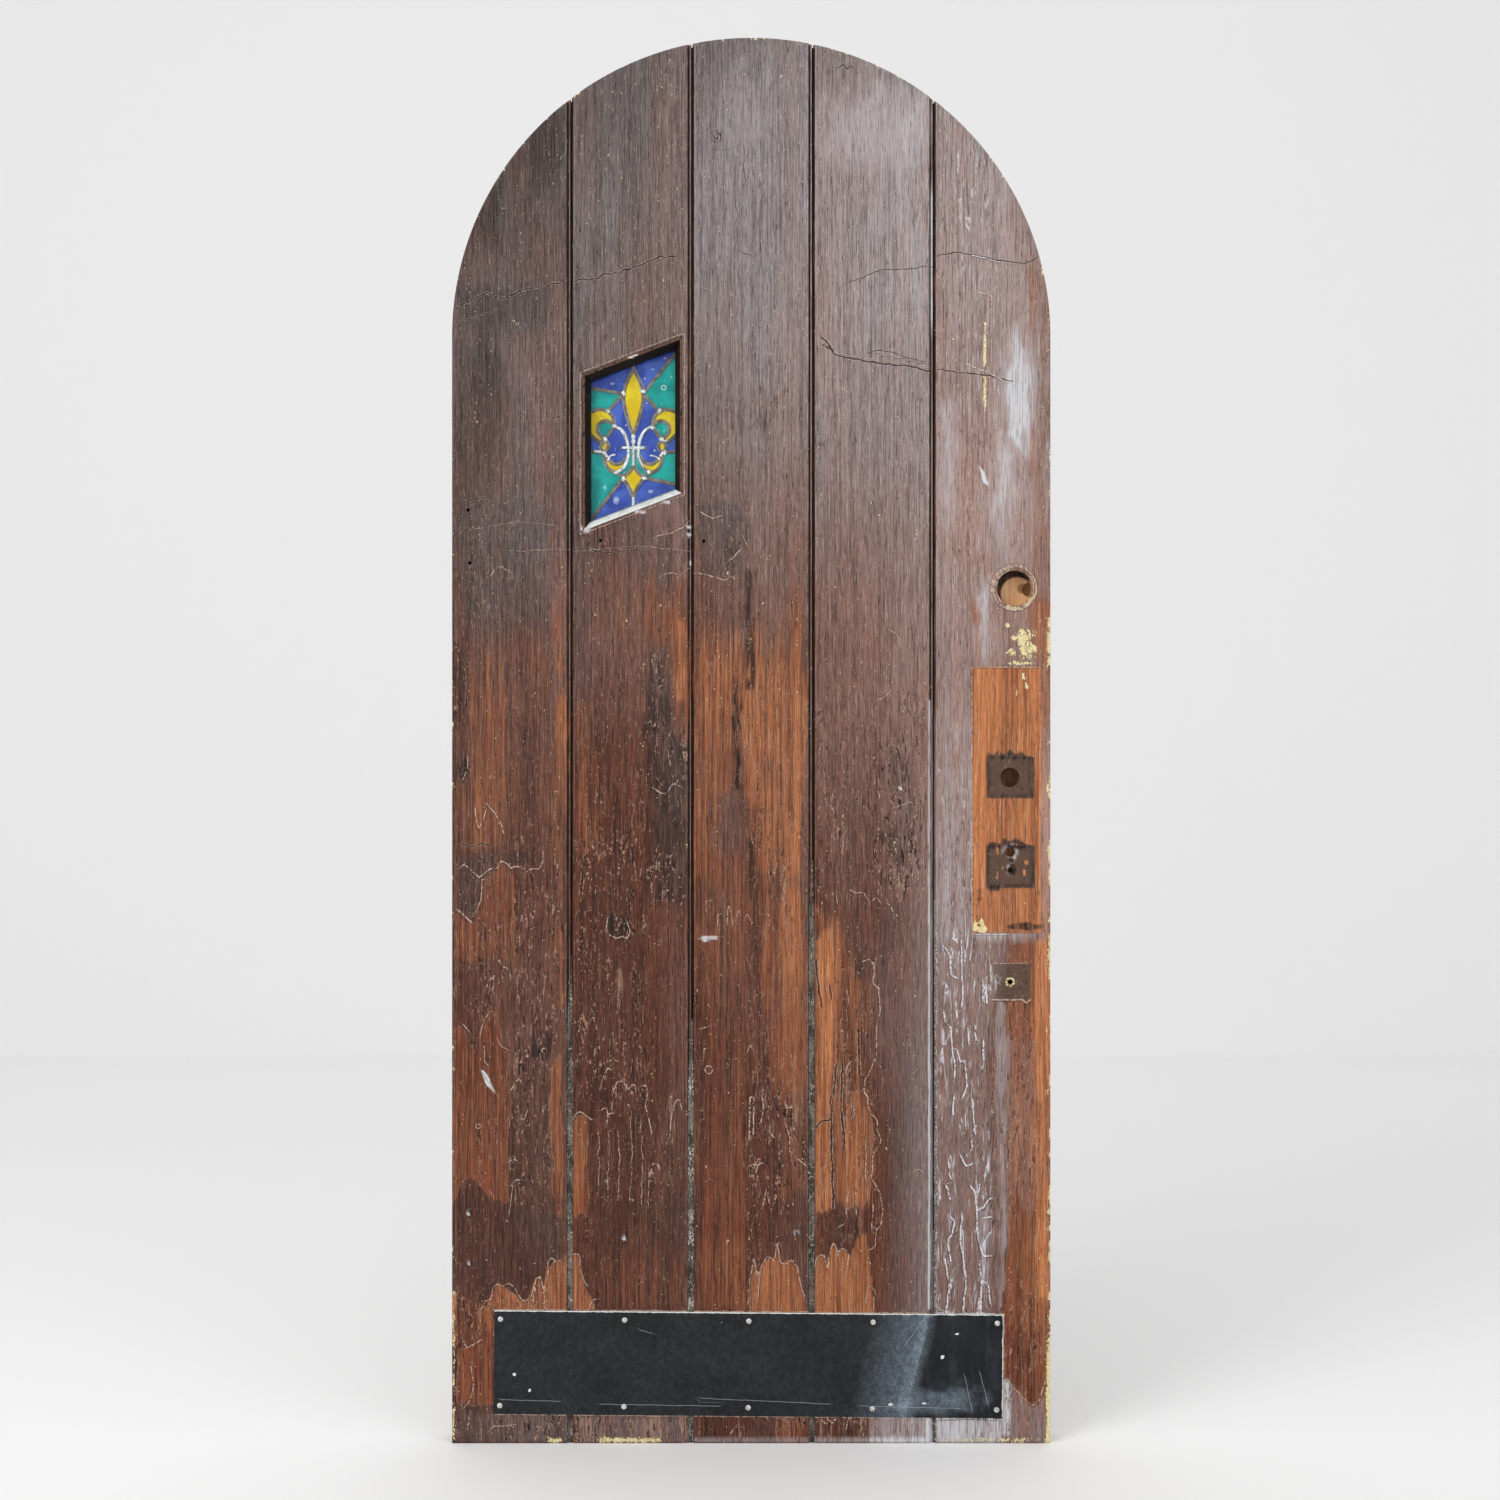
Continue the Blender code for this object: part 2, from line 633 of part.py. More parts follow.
def make_leaded_light(centre):
    """The leads, soldered into one net with their border, and the panes between them."""
    middle = BACK - LIP_THICKNESS - REST_CLEARANCE - CAME_DEPTH / 2
    inner = BORDER_CLEARANCE + BORDER_WIDTH
    holes = pane_outlines(centre, CAME_WIDTH, inner)
    border = light_corners(centre, BORDER_CLEARANCE)
    net = upright_prism(middle - CAME_DEPTH / 2, middle + CAME_DEPTH / 2, border, *holes)
    placed(net, "lead_cames", "lead", UPRIGHT)
    glass = GLASS_THICKNESS / 2
    panes = pane_outlines(centre, CAME_WIDTH + 2 * GLASS_CLEARANCE, inner + GLASS_CLEARANCE)
    for name, (colour, outline) in name_panes(panes, centre).items():
        placed(upright_prism(middle - glass, middle + glass, outline), name, colour, UPRIGHT)


def screw_mesh():
    """A round-head screw turned from its section: its head above Z 0 and its shank below."""
    radius = SCREW_HEAD_DIAMETER / 2
    shank = SCREW_SHANK_DIAMETER / 2
    dome = [(0, SCREW_HEAD_HEIGHT)]
    for n in range(1, SCREW_DOME_STEPS + 1):
        angle = math.pi / 2 * (1 - n / SCREW_DOME_STEPS)
        dome.append((radius * math.cos(angle), SCREW_HEAD_HEIGHT * math.sin(angle)))
    section = [*dome, (shank, 0), (shank, shank - SCREW_LENGTH), (0, -SCREW_LENGTH)]
    outline = bpy.data.meshes.new("screw_section")
    outline.from_pydata([(r, 0, z) for r, z in section], [(n, n + 1) for n in range(len(section) - 1)], [])
    lathe = bpy.data.objects.new("screw_section", outline)
    PARTS.objects.link(lathe)
    spin = lathe.modifiers.new("turn", "SCREW")
    spin.steps = SCREW_STEPS
    spin.render_steps = SCREW_STEPS
    spin.use_merge_vertices = True
    spin.merge_threshold = 0.0001
    mesh = applied(lathe)
    bpy.data.objects.remove(lathe)
    mesh.materials.append(material("screw"))
    return mesh


def kick_screw_places():
    """The screws' places on the plate, from its middle: two rows of columns."""
    half_width = KICK_WIDTH / 2 - KICK_SCREW_INSET
    half_height = KICK_HEIGHT / 2 - KICK_SCREW_DROP
    columns = [half_width * (2 * n / (KICK_SCREW_COLUMNS - 1) - 1) for n in range(KICK_SCREW_COLUMNS)]
    return {
        f"{row}_kick_screw_{n + 1}": (x, up * half_height)
        for row, up in (("upper", 1), ("lower", -1))
        for n, x in enumerate(columns)
    }


def make_kick_plate(plank_cutters):
    """The kick plate, a little out of level, its screws, and the holes that they pass through."""
    middle = Vector((DOOR_WIDTH / 2 + KICK_OFFSET, 0, KICK_CENTRE_HEIGHT))
    turn = Matrix.Rotation(KICK_TILT, 3, "Y")
    back = FRONT - REST_CLEARANCE
    front = back - KICK_THICKNESS
    mesh = block((-KICK_WIDTH / 2, front, -KICK_HEIGHT / 2), (KICK_WIDTH / 2, back, KICK_HEIGHT / 2))
    plate = placed(mesh, "kick_plate", "kick_plate", (0, KICK_TILT, 0), middle)
    screw = screw_mesh()
    drills = cutter_collection("screw_holes")
    radius = SCREW_SHANK_DIAMETER / 2 + SCREW_CLEARANCE
    seat = front - REST_CLEARANCE
    for name, (x, z) in kick_screw_places().items():
        place = middle + turn @ Vector((x, 0, z))
        placed(screw, name, "screw", UPRIGHT, (place.x, seat, place.z))
        end = seat + SCREW_LENGTH + SCREW_CLEARANCE
        drill = cylinder(radius, (place.x, front - OVERCUT, place.z), (place.x, end, place.z), SCREW_STEPS)
        cutter(drill, f"{name}_cutter", drills)
        plank_cutters.objects.link(drills.objects[f"{name}_cutter"])
    combine(plate, "DIFFERENCE", drills)


def main():
    lines = joint_lines()
    centre = light_centre(lines)
    cutters = cutter_collection("plank_cutters")
    add_arch_cutter(cutters)
    add_light(cutters, centre)
    add_gains(cutters)
    add_bores(cutters)
    make_kick_plate(cutters)
    for index in range(PLANK_COUNT):
        section = plank_section(lines, index)
        plank = placed(prism(0, DOOR_HEIGHT + OVERCUT / 2, section), f"plank_{index + 1}", "plank")
        combine(plank, "DIFFERENCE", cutters)
    make_stops(centre)
    make_leaded_light(centre)


main()
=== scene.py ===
import math

import bmesh
import bpy
import numpy as np
from mathutils import Matrix, Vector
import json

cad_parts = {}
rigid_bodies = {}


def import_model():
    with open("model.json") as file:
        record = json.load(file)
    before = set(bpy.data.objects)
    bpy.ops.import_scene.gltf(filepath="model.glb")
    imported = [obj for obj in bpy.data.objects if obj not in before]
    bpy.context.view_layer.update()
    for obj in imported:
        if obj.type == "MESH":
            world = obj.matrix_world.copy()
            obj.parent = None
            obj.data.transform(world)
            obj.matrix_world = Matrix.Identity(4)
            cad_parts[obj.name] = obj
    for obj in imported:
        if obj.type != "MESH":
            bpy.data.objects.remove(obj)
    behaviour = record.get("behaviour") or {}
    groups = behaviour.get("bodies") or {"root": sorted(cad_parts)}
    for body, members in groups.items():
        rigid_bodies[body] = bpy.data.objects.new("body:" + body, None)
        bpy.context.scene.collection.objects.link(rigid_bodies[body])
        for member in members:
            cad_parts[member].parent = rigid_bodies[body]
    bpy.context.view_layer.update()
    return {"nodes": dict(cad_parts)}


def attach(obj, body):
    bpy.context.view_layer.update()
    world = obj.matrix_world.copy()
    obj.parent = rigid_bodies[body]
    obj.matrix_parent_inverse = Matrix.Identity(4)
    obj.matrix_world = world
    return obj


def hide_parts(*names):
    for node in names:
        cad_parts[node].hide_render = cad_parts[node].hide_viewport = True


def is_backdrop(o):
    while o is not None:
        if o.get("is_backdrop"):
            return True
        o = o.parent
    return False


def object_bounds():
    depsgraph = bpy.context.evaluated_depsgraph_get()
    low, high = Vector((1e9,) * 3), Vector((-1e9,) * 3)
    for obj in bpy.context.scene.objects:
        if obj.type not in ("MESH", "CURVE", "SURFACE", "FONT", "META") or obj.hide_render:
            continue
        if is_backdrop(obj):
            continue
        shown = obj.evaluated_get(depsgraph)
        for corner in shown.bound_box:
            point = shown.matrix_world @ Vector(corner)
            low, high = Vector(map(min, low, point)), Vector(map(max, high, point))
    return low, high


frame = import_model()


# ---------------------------------------------------------------- first plank, on the hinge side
# A full-thickness softwood plank, stained and varnished, with half of the arch cut on its outer edge and
# three hinge gains in it. Its varnish has crazed, and peeled off in tongues near the foot.
# The leaf is measured in millimetres: X from the hinge edge, H up from the foot, depth back from the face.
LEAF_WIDTH, LEAF_HEIGHT, LEAF_THICKNESS = 914.0, 2146.0, 44.5
HINGE_EDGE, FOOT = -2.5, -900.0
JOINTS = (0.0, 180.1, 364.7, 549.3, 733.9, 914.0)
ACROSS, UP = 2.5, 3.8
CUT_PAST = 10.0
ARRIS, V_WIDTH = 1.2, 5.5
TONGUE_REACH, TONGUE_HALF, GROOVE_DEPTH, GROOVE_HALF = 10.6, 5.5, 11, 5.9


def plank_section(index, across):
    """Outline of a plank seen from above: its edges as (X, depth), with close points across its face."""
    face, back = 0.0, LEAF_THICKNESS
    middle = back / 2

    def outer(line, inward):
        return [(line + inward * ARRIS, face), (line, ARRIS), (line, back - ARRIS), (line + inward * ARRIS, back)]

    def tongue(line):
        bead = [(line - 0.6 - 1.2 * math.cos(math.pi * n / 6), 4.5 - 1.2 * math.sin(math.pi * n / 6))
                for n in range(7)]
        slope = [(line - V_WIDTH + 3.7 * n / 3, 4.5 * n / 3) for n in range(3)]
        return [*slope, *bead, (line + 0.6, middle - TONGUE_HALF), (line + TONGUE_REACH, middle - TONGUE_HALF),
                (line + TONGUE_REACH, middle + TONGUE_HALF), (line + 0.6, middle + TONGUE_HALF),
                (line + 0.6, back - 3), (line - 2.4, back)]

    def groove(line):
        slope = [(line + V_WIDTH - 2.9 * n / 3, 4.0 * n / 3) for n in range(4)]
        return [*slope, (line + 2.6, middle - GROOVE_HALF), (line + GROOVE_DEPTH, middle - GROOVE_HALF),
                (line + GROOVE_DEPTH, middle + GROOVE_HALF), (line + 1, middle + GROOVE_HALF),
                (line + 1, back - 3), (line + 4, back)]

    left = groove(JOINTS[index]) if index else outer(0, 1)
    right = outer(LEAF_WIDTH, -1) if index == 4 else tongue(JOINTS[index + 1])

    def between(a, b, step):
        pieces = round(abs(b[0] - a[0]) / step)
        return [(a[0] + (b[0] - a[0]) * n / pieces, a[1]) for n in range(1, pieces)]

    return [*left, *between(left[-1], right[-1], 10), *right[::-1], *between(right[0], left[0], across)]


def leaf_point(x, depth, h):
    """Metres in the row frame for a place on the leaf."""
    return (x + HINGE_EDGE) / 1000, (depth - LEAF_THICKNESS / 2) / 1000, (h + FOOT) / 1000


def prism_mesh(name, outline, heights):
    """A closed mesh: an (X, depth) outline repeated at each height, capped at both ends."""
    outline, heights = np.array(outline, float), np.array(heights, float)
    count, rows = len(outline), len(heights)
    places = np.empty((rows, count, 3))
    places[..., 0] = (outline[:, 0] + HINGE_EDGE) / 1000
    places[..., 1] = (outline[:, 1] - LEAF_THICKNESS / 2) / 1000
    places[..., 2] = ((heights + FOOT) / 1000)[:, None]
    row = np.arange(rows - 1)[:, None] * count
    here = np.arange(count)[None]
    there = (here + 1) % count
    sides = np.stack([row + here, row + there, row + count + there, row + count + here], -1).reshape(-1, 4)
    mesh = bpy.data.meshes.new(name)
    mesh.vertices.add(rows * count)
    mesh.vertices.foreach_set("co", places.ravel())
    mesh.loops.add(len(sides) * 4 + 2 * count)
    caps = np.concatenate([np.arange(count)[::-1], np.arange(count) + (rows - 1) * count])
    mesh.loops.foreach_set("vertex_index", np.concatenate([sides.ravel(), caps]))
    mesh.polygons.add(len(sides) + 2)
    mesh.polygons.foreach_set("loop_start", np.concatenate([np.arange(len(sides) + 1) * 4, [len(sides) * 4 + count]]))
    mesh.update(calc_edges=True)
    return mesh


def mesh_from(shape, name):
    """The mesh of a shape that is done with."""
    mesh = bpy.data.meshes.new(name)
    shape.to_mesh(mesh)
    shape.free()
    return mesh


def cutter_round(radius, start, end, sides=64, ring=3.0, nose=0.0):
    """A round cutter between two places on the leaf, with rings close enough for its bore to be worked.
    A nose rounds its start."""
    a, b = Vector(leaf_point(*start)), Vector(leaf_point(*end))
    turn = (b - a).to_track_quat("Z", "Y").to_matrix()
    length = (b - a).length
    rings = max(1, round(radius / ring))
    walls = max(1, round(length * 1000 / ring))
    section = [(radius / 1000 * (n + 1) / rings, -nose * radius / 1000 * math.sqrt(1 - ((n + 1) / rings) ** 2))
               for n in range(rings)]
    section += [(radius / 1000, length * (n + 1) / walls) for n in range(walls)]
    section += [(radius / 1000 * (rings - n - 1) / rings, length) for n in range(rings - 1)]
    shape = bmesh.new()
    loops = []
    for r, z in section:
        angles = [2 * math.pi * k / sides for k in range(sides)]
        loops.append([shape.verts.new(a + turn @ Vector((r * math.cos(t), r * math.sin(t), z))) for t in angles])
    first, last = shape.verts.new(a + turn @ Vector((0, 0, -nose * radius / 1000))), shape.verts.new(b)
    for k in range(sides):
        m = (k + 1) % sides
        shape.faces.new((first, loops[0][m], loops[0][k]))
        shape.faces.new((last, loops[-1][k], loops[-1][m]))
        for low, high in zip(loops, loops[1:]):
            shape.faces.new((low[k], low[m], high[m], high[k]))
    return mesh_from(shape, "cutter")


def cutter_block(outline, front, back):
    """A cutter with an (X, H) outline, counter-clockwise from the front, between two depths."""
    shape = bmesh.new()
    rings = [[shape.verts.new(leaf_point(x, depth, h)) for x, h in outline] for depth in (front, back)]
    for n in range(len(outline)):
        m = (n + 1) % len(outline)
        shape.faces.new((rings[0][n], rings[1][n], rings[1][m], rings[0][m]))
    shape.faces.new(rings[0])
    shape.faces.new(rings[1][::-1])
    bmesh.ops.triangulate(shape, faces=[f for f in shape.faces if len(f.verts) > 4])
    bmesh.ops.recalc_face_normals(shape, faces=shape.faces)
    return mesh_from(shape, "cutter")


def cut(mesh, cutters):
    """Takes the cutters away from a mesh."""
    home = bpy.data.collections.new("cutters")
    for n, cutter in enumerate(cutters):
        home.objects.link(bpy.data.objects.new(f"cutter_{n}", cutter))
    blank = bpy.data.objects.new("blank", mesh)
    bpy.context.scene.collection.objects.link(blank)
    bpy.context.scene.collection.children.link(home)
    work = blank.modifiers.new("cut", "BOOLEAN")
    work.operation, work.solver = "DIFFERENCE", "MANIFOLD"
    work.operand_type, work.collection = "COLLECTION", home
    bpy.context.view_layer.update()
    made = bpy.data.meshes.new_from_object(blank.evaluated_get(bpy.context.evaluated_depsgraph_get()))
    for obj in [*home.objects, blank]:
        bpy.data.objects.remove(obj)
    bpy.data.collections.remove(home)
    return made


def arch_cutter():
    """All that lies outside the half-round head."""
    radius = LEAF_WIDTH / 2
    spring = LEAF_HEIGHT - radius
    rim = [(radius * (1 - math.cos(math.pi * n / 200)), spring + radius * math.sin(math.pi * n / 200))
           for n in range(201)]
    top = LEAF_HEIGHT + CUT_PAST
    outside = [(LEAF_WIDTH + CUT_PAST, top), (-CUT_PAST, top), (-CUT_PAST, spring), *rim,
               (LEAF_WIDTH + CUT_PAST, spring)]
    return cutter_block(outside, -CUT_PAST, LEAF_THICKNESS + CUT_PAST)


def strap_hole(x, h):
    """A screw hole that a strap hinge left in the face."""
    return cutter_round(2.5, (x, -CUT_PAST, h), (x, 12, h), 16)


PLATE_MIDDLE, PLATE_TILT = (452.8, 120.6), math.radians(0.5)
PLATE_HALF_WIDTH, PLATE_HALF_HEIGHT = 388.65, 79.05


def on_plate(along, rise):
    """X and H of a place on the kick plate, which sits half a degree out of level."""
    x, h = PLATE_MIDDLE
    return (x + along * math.cos(PLATE_TILT) + rise * math.sin(PLATE_TILT),
            h - along * math.sin(PLATE_TILT) + rise * math.cos(PLATE_TILT))


def kick_place(column, up):
    """X and H of a kick plate screw: five columns, upper row 1 and lower row -1."""
    return on_plate(379.15 * (column / 2 - 1), 66.05 * up)


def plate_corner(side, up, past=0.0):
    """X and H of a corner of the kick plate, or of a place so far past it."""
    return on_plate((PLATE_HALF_WIDTH + past) * side, (PLATE_HALF_HEIGHT + past) * up)


def kick_screw_holes(columns):
    """Pilot holes for the kick plate's screws in the given columns."""
    places = [kick_place(column, up) for column in columns for up in (1, -1)]
    return [cutter_round(2.2, (x, -CUT_PAST, h), (x, 18.5, h), 16) for x, h in places]


def store(mesh, name, values):
    """Keeps a value at every point of a mesh, for its material to read."""
    mesh.attributes.new(name, "FLOAT", "POINT").data.foreach_set("value", np.asarray(values, np.float32))


def fit_piece(name, mesh, material, slot, *nodes):
    """Puts a finished mesh on the leaf as a piece, in place of the CAD nodes that it stands for."""
    mesh.materials.clear()
    mesh.materials.append(material)
    piece = bpy.data.objects.new(name, mesh)
    bpy.context.scene.collection.objects.link(piece)
    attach(piece, "root")
    if nodes:
        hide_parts(*nodes)


class Wood:
    """The face of one plank while its wear is worked: X, H and depth in millimetres of every point of its mesh."""

    # Some layers carry painted light as well as wear: haze is rain bloom, pale chips and filled nail heads, with
    # painted sheen high up; pale is faded grey varnish with painted sheen, and painted highlights on the joints' beads
    # and arrises; the soot layer is dark dirt, and painted shade down in the joints and bores.
    ON_THE_FACE = ("pale", "worn", "peel", "haze", "cream", "craze", "dust", "grit", "ghost")
    LAYERS = (*ON_THE_FACE, "warm", "fresh", "soot", "raw", "hidden")
    FACE_DEPTH = 9

    def __init__(self, mesh, seed):
        self.mesh, self.seed = mesh, seed
        co = np.empty(len(mesh.vertices) * 3)
        mesh.vertices.foreach_get("co", co)
        self.co = co.reshape(-1, 3)
        self.x = self.co[:, 0] * 1000 - HINGE_EDGE
        self.depth = self.co[:, 1] * 1000 + LEAF_THICKNESS / 2
        self.h = self.co[:, 2] * 1000 - FOOT
        self.face = self.depth < 0.05
        radius = LEAF_WIDTH / 2
        spring = LEAF_HEIGHT - radius
        side = np.minimum(self.x, LEAF_WIDTH - self.x)
        self.rim = np.where(self.h > spring, radius - np.hypot(self.x - radius, self.h - spring), side)
        self.layers = {name: np.zeros(len(self.x)) for name in self.LAYERS}
        self.lines = {"crack": np.full(len(self.x), 99.0), "seam": np.full(len(self.x), 99.0)}
        self.relief = np.zeros(len(self.x))

    def rough(self, wide, tall, kind=0):
        """Smooth random unevenness from 0 to 1, so many millimetres wide and tall."""
        u, v = self.x / wide + 31.7 * kind, self.h / tall + 17.3 * kind
        i, j = np.floor(u).astype(np.int64), np.floor(v).astype(np.int64)
        fu, fv = u - i, v - j
        fu, fv = fu * fu * (3 - 2 * fu), fv * fv * (3 - 2 * fv)

        def lattice(a, b):
            key = (a * 73856093) ^ (b * 19349663) ^ ((self.seed * 101 + kind * 7 + 1) * 83492791)
            key = ((key & 0xFFFFFFFF) * 2654435761) & 0xFFFFFFFF
            key ^= key >> 15
            key = (key * 2246822519) & 0xFFFFFFFF
            key ^= key >> 13
            return (key & 0xFFFFFF) / 0xFFFFFF

        low = lattice(i, j) * (1 - fu) + lattice(i + 1, j) * fu
        high = lattice(i, j + 1) * (1 - fu) + lattice(i + 1, j + 1) * fu
        return low * (1 - fv) + high * fv

    def along(self, *stops):
        """Values that change up the plank, between stops of (H, value)."""
        stops = sorted(stops)
        return np.interp(self.h, [h for h, _ in stops], [v for _, v in stops])

    def across(self, *stops):
        """Values that change across the plank, between stops of (X, value)."""
        return np.interp(self.x, [x for x, _ in stops], [v for _, v in stops])

    def spot(self, x, h, wide, tall, ragged=0.35, soft=0.6):
        """A ragged patch about a place, 1 in its middle and 0 outside."""
        away = np.hypot((self.x - x) / wide, (self.h - h) / tall)
        away = away + ragged * (self.rough(wide * 0.35 + 4, tall * 0.22 + 8, 5) - 0.5) * 2
        return np.clip((1 - away) / soft + 0.5, 0, 1)

    def box(self, x0, h1, x1, h0, soft=6, ragged=0.5, tall=60, fingers=0.0):
        """A patch from its upper left to its lower right corner. Fingers run up from its top edge, in millimetres."""
        shift = ragged * soft * (self.rough(12, tall, 6) - 0.5) * 2
        side = np.clip((self.x - x0 + shift) / soft + 0.5, 0, 1) * np.clip((x1 - self.x + shift) / soft + 0.5, 0, 1)
        top = h1 + fingers * (self.rough(9, 4000, 7) * 1.2 + self.rough(23, 4000, 12) * 0.8 - 1.0)
        foot = h0 - 0.7 * fingers * (self.rough(8, 4000, 16) * 1.1 + self.rough(19, 4000, 17) * 0.9 - 1.0)
        up = np.clip((self.h - foot) / (2 * soft) + 0.5, 0, 1)
        return side * up * np.clip((top - self.h) / (2 * soft) + 0.5, 0, 1)

    def patch(self, *corners, soft=5, ragged=5, tall=30):
        """A patch with the given outline, its edge wandering as varnish breaks along the grain."""
        x = self.x + ragged * (self.rough(7, tall, 19) - 0.5) * 2
        h = self.h + ragged * (self.rough(9, tall, 20) - 0.5) * 4
        inside, near = np.zeros(len(x), bool), np.full(len(x), 1e9)
        for (x0, h0), (x1, h1) in zip(corners, corners[1:] + corners[:1]):
            dx, dh = x1 - x0, h1 - h0
            inside ^= ((h0 > h) != (h1 > h)) & (x < x0 + dx * (h - h0) / (dh or 1))
            share = np.clip(((x - x0) * dx + (h - h0) * dh) / (dx * dx + dh * dh), 0, 1)
            near = np.minimum(near, np.hypot(x - x0 - share * dx, h - h0 - share * dh))
        return np.clip(np.where(inside, near, -near) / soft + 0.5, 0, 1)

    def add(self, where, **amounts):
        """Adds so much of each layer of wear where a patch lies."""
        for layer, amount in amounts.items():
            self.layers[layer] = self.layers[layer] + amount * where

    def worn(self, where, much=0.6, fresh=0.3):
        """Varnish rubbed thin, so that the wood shows through in streaks."""
        self.add(where, worn=much, fresh=fresh)

    def peeled(self, where, much=0.65, fresh=0.2):
        """Bare wood with a ragged edge: the varnish has gone, and the rain bloom and painted sheen on it too."""
        self.layers["haze"] *= 1 - 0.8 * np.clip(where, 0, 1)
        self.layers["pale"] *= 1 - 0.5 * np.clip(where, 0, 1)
        self.add(where, peel=much, fresh=fresh)

    def line(self, kind, *points, wide=0.8, wander=3.0):
        """A crack, or the raised seam where varnish has lifted, through the given places."""
        held = self.lines[kind]
        wave = wander * (self.rough(4.5, 6, 8) * 0.7 + self.rough(11, 11, 9) * 0.7 - 0.7)
        for (x0, h0), (x1, h1) in zip(points, points[1:]):
            length = math.hypot(x1 - x0, h1 - h0)
            ux, uh = (x1 - x0) / length, (h1 - h0) / length
            run = (self.x - x0) * ux + (self.h - h0) * uh
            side = (self.h - h0) * ux - (self.x - x0) * uh + wave
            past = np.maximum(np.maximum(-run, run - length), 0)
            away = np.hypot(side, past * 2) / wide
            held = np.where(away < np.abs(held), np.where(side < 0, -away, away), held)
        self.lines[kind] = held

    def ring(self, kind, x, h, radius, wide=0.8, start=0, end=360):
        """A round line about a place."""
        turn = [math.radians(a) for a in np.linspace(start, end, 25)]
        self.line(kind, *[(x + radius * math.cos(a), h + radius * math.sin(a)) for a in turn], wide=wide, wander=1.0)

    def finish(self, name, node):
        """Works the relief into the face, stores the wear, which stays off the back, and fits the piece."""
        layers = self.layers
        for layer in self.ON_THE_FACE:
            layers[layer] = layers[layer] * np.clip((self.FACE_DEPTH - self.depth) / 2, 0, 1)
        self.lines = {kind: np.where(self.depth < self.FACE_DEPTH, away, 99) for kind, away in self.lines.items()}
        near_crack = np.clip(1.4 - np.abs(self.lines["crack"]), 0, 1)
        near_seam = np.clip(1.6 - np.abs(self.lines["seam"]), 0, 1)
        bare = np.clip((layers["peel"] - 0.45) * 6, 0, 1)
        push = self.relief - 0.9 * near_crack + 0.35 * near_seam - 0.3 * bare
        push -= 0.5 * np.clip((layers["cream"] - 0.5) * 3, 0, 1)
        self.co[:, 1] -= np.where(self.face, np.clip(push, -7, 1.0), 0) / 1000
        self.mesh.vertices.foreach_set("co", self.co.ravel())
        for layer, values in {**layers, **self.lines}.items():
            store(self.mesh, layer, np.clip(values, -99, 99))
        self.mesh.update()
        fit_piece(name, self.mesh, VARNISH, "plank", node)


def tint(r, g, b):
    """A shader's colour from the 0 to 255 that a paint card gives."""
    return tuple((v / 255 / 12.92) if v <= 10 else ((v / 255 + 0.055) / 1.055) ** 2.4 for v in (r, g, b)) + (1.0,)


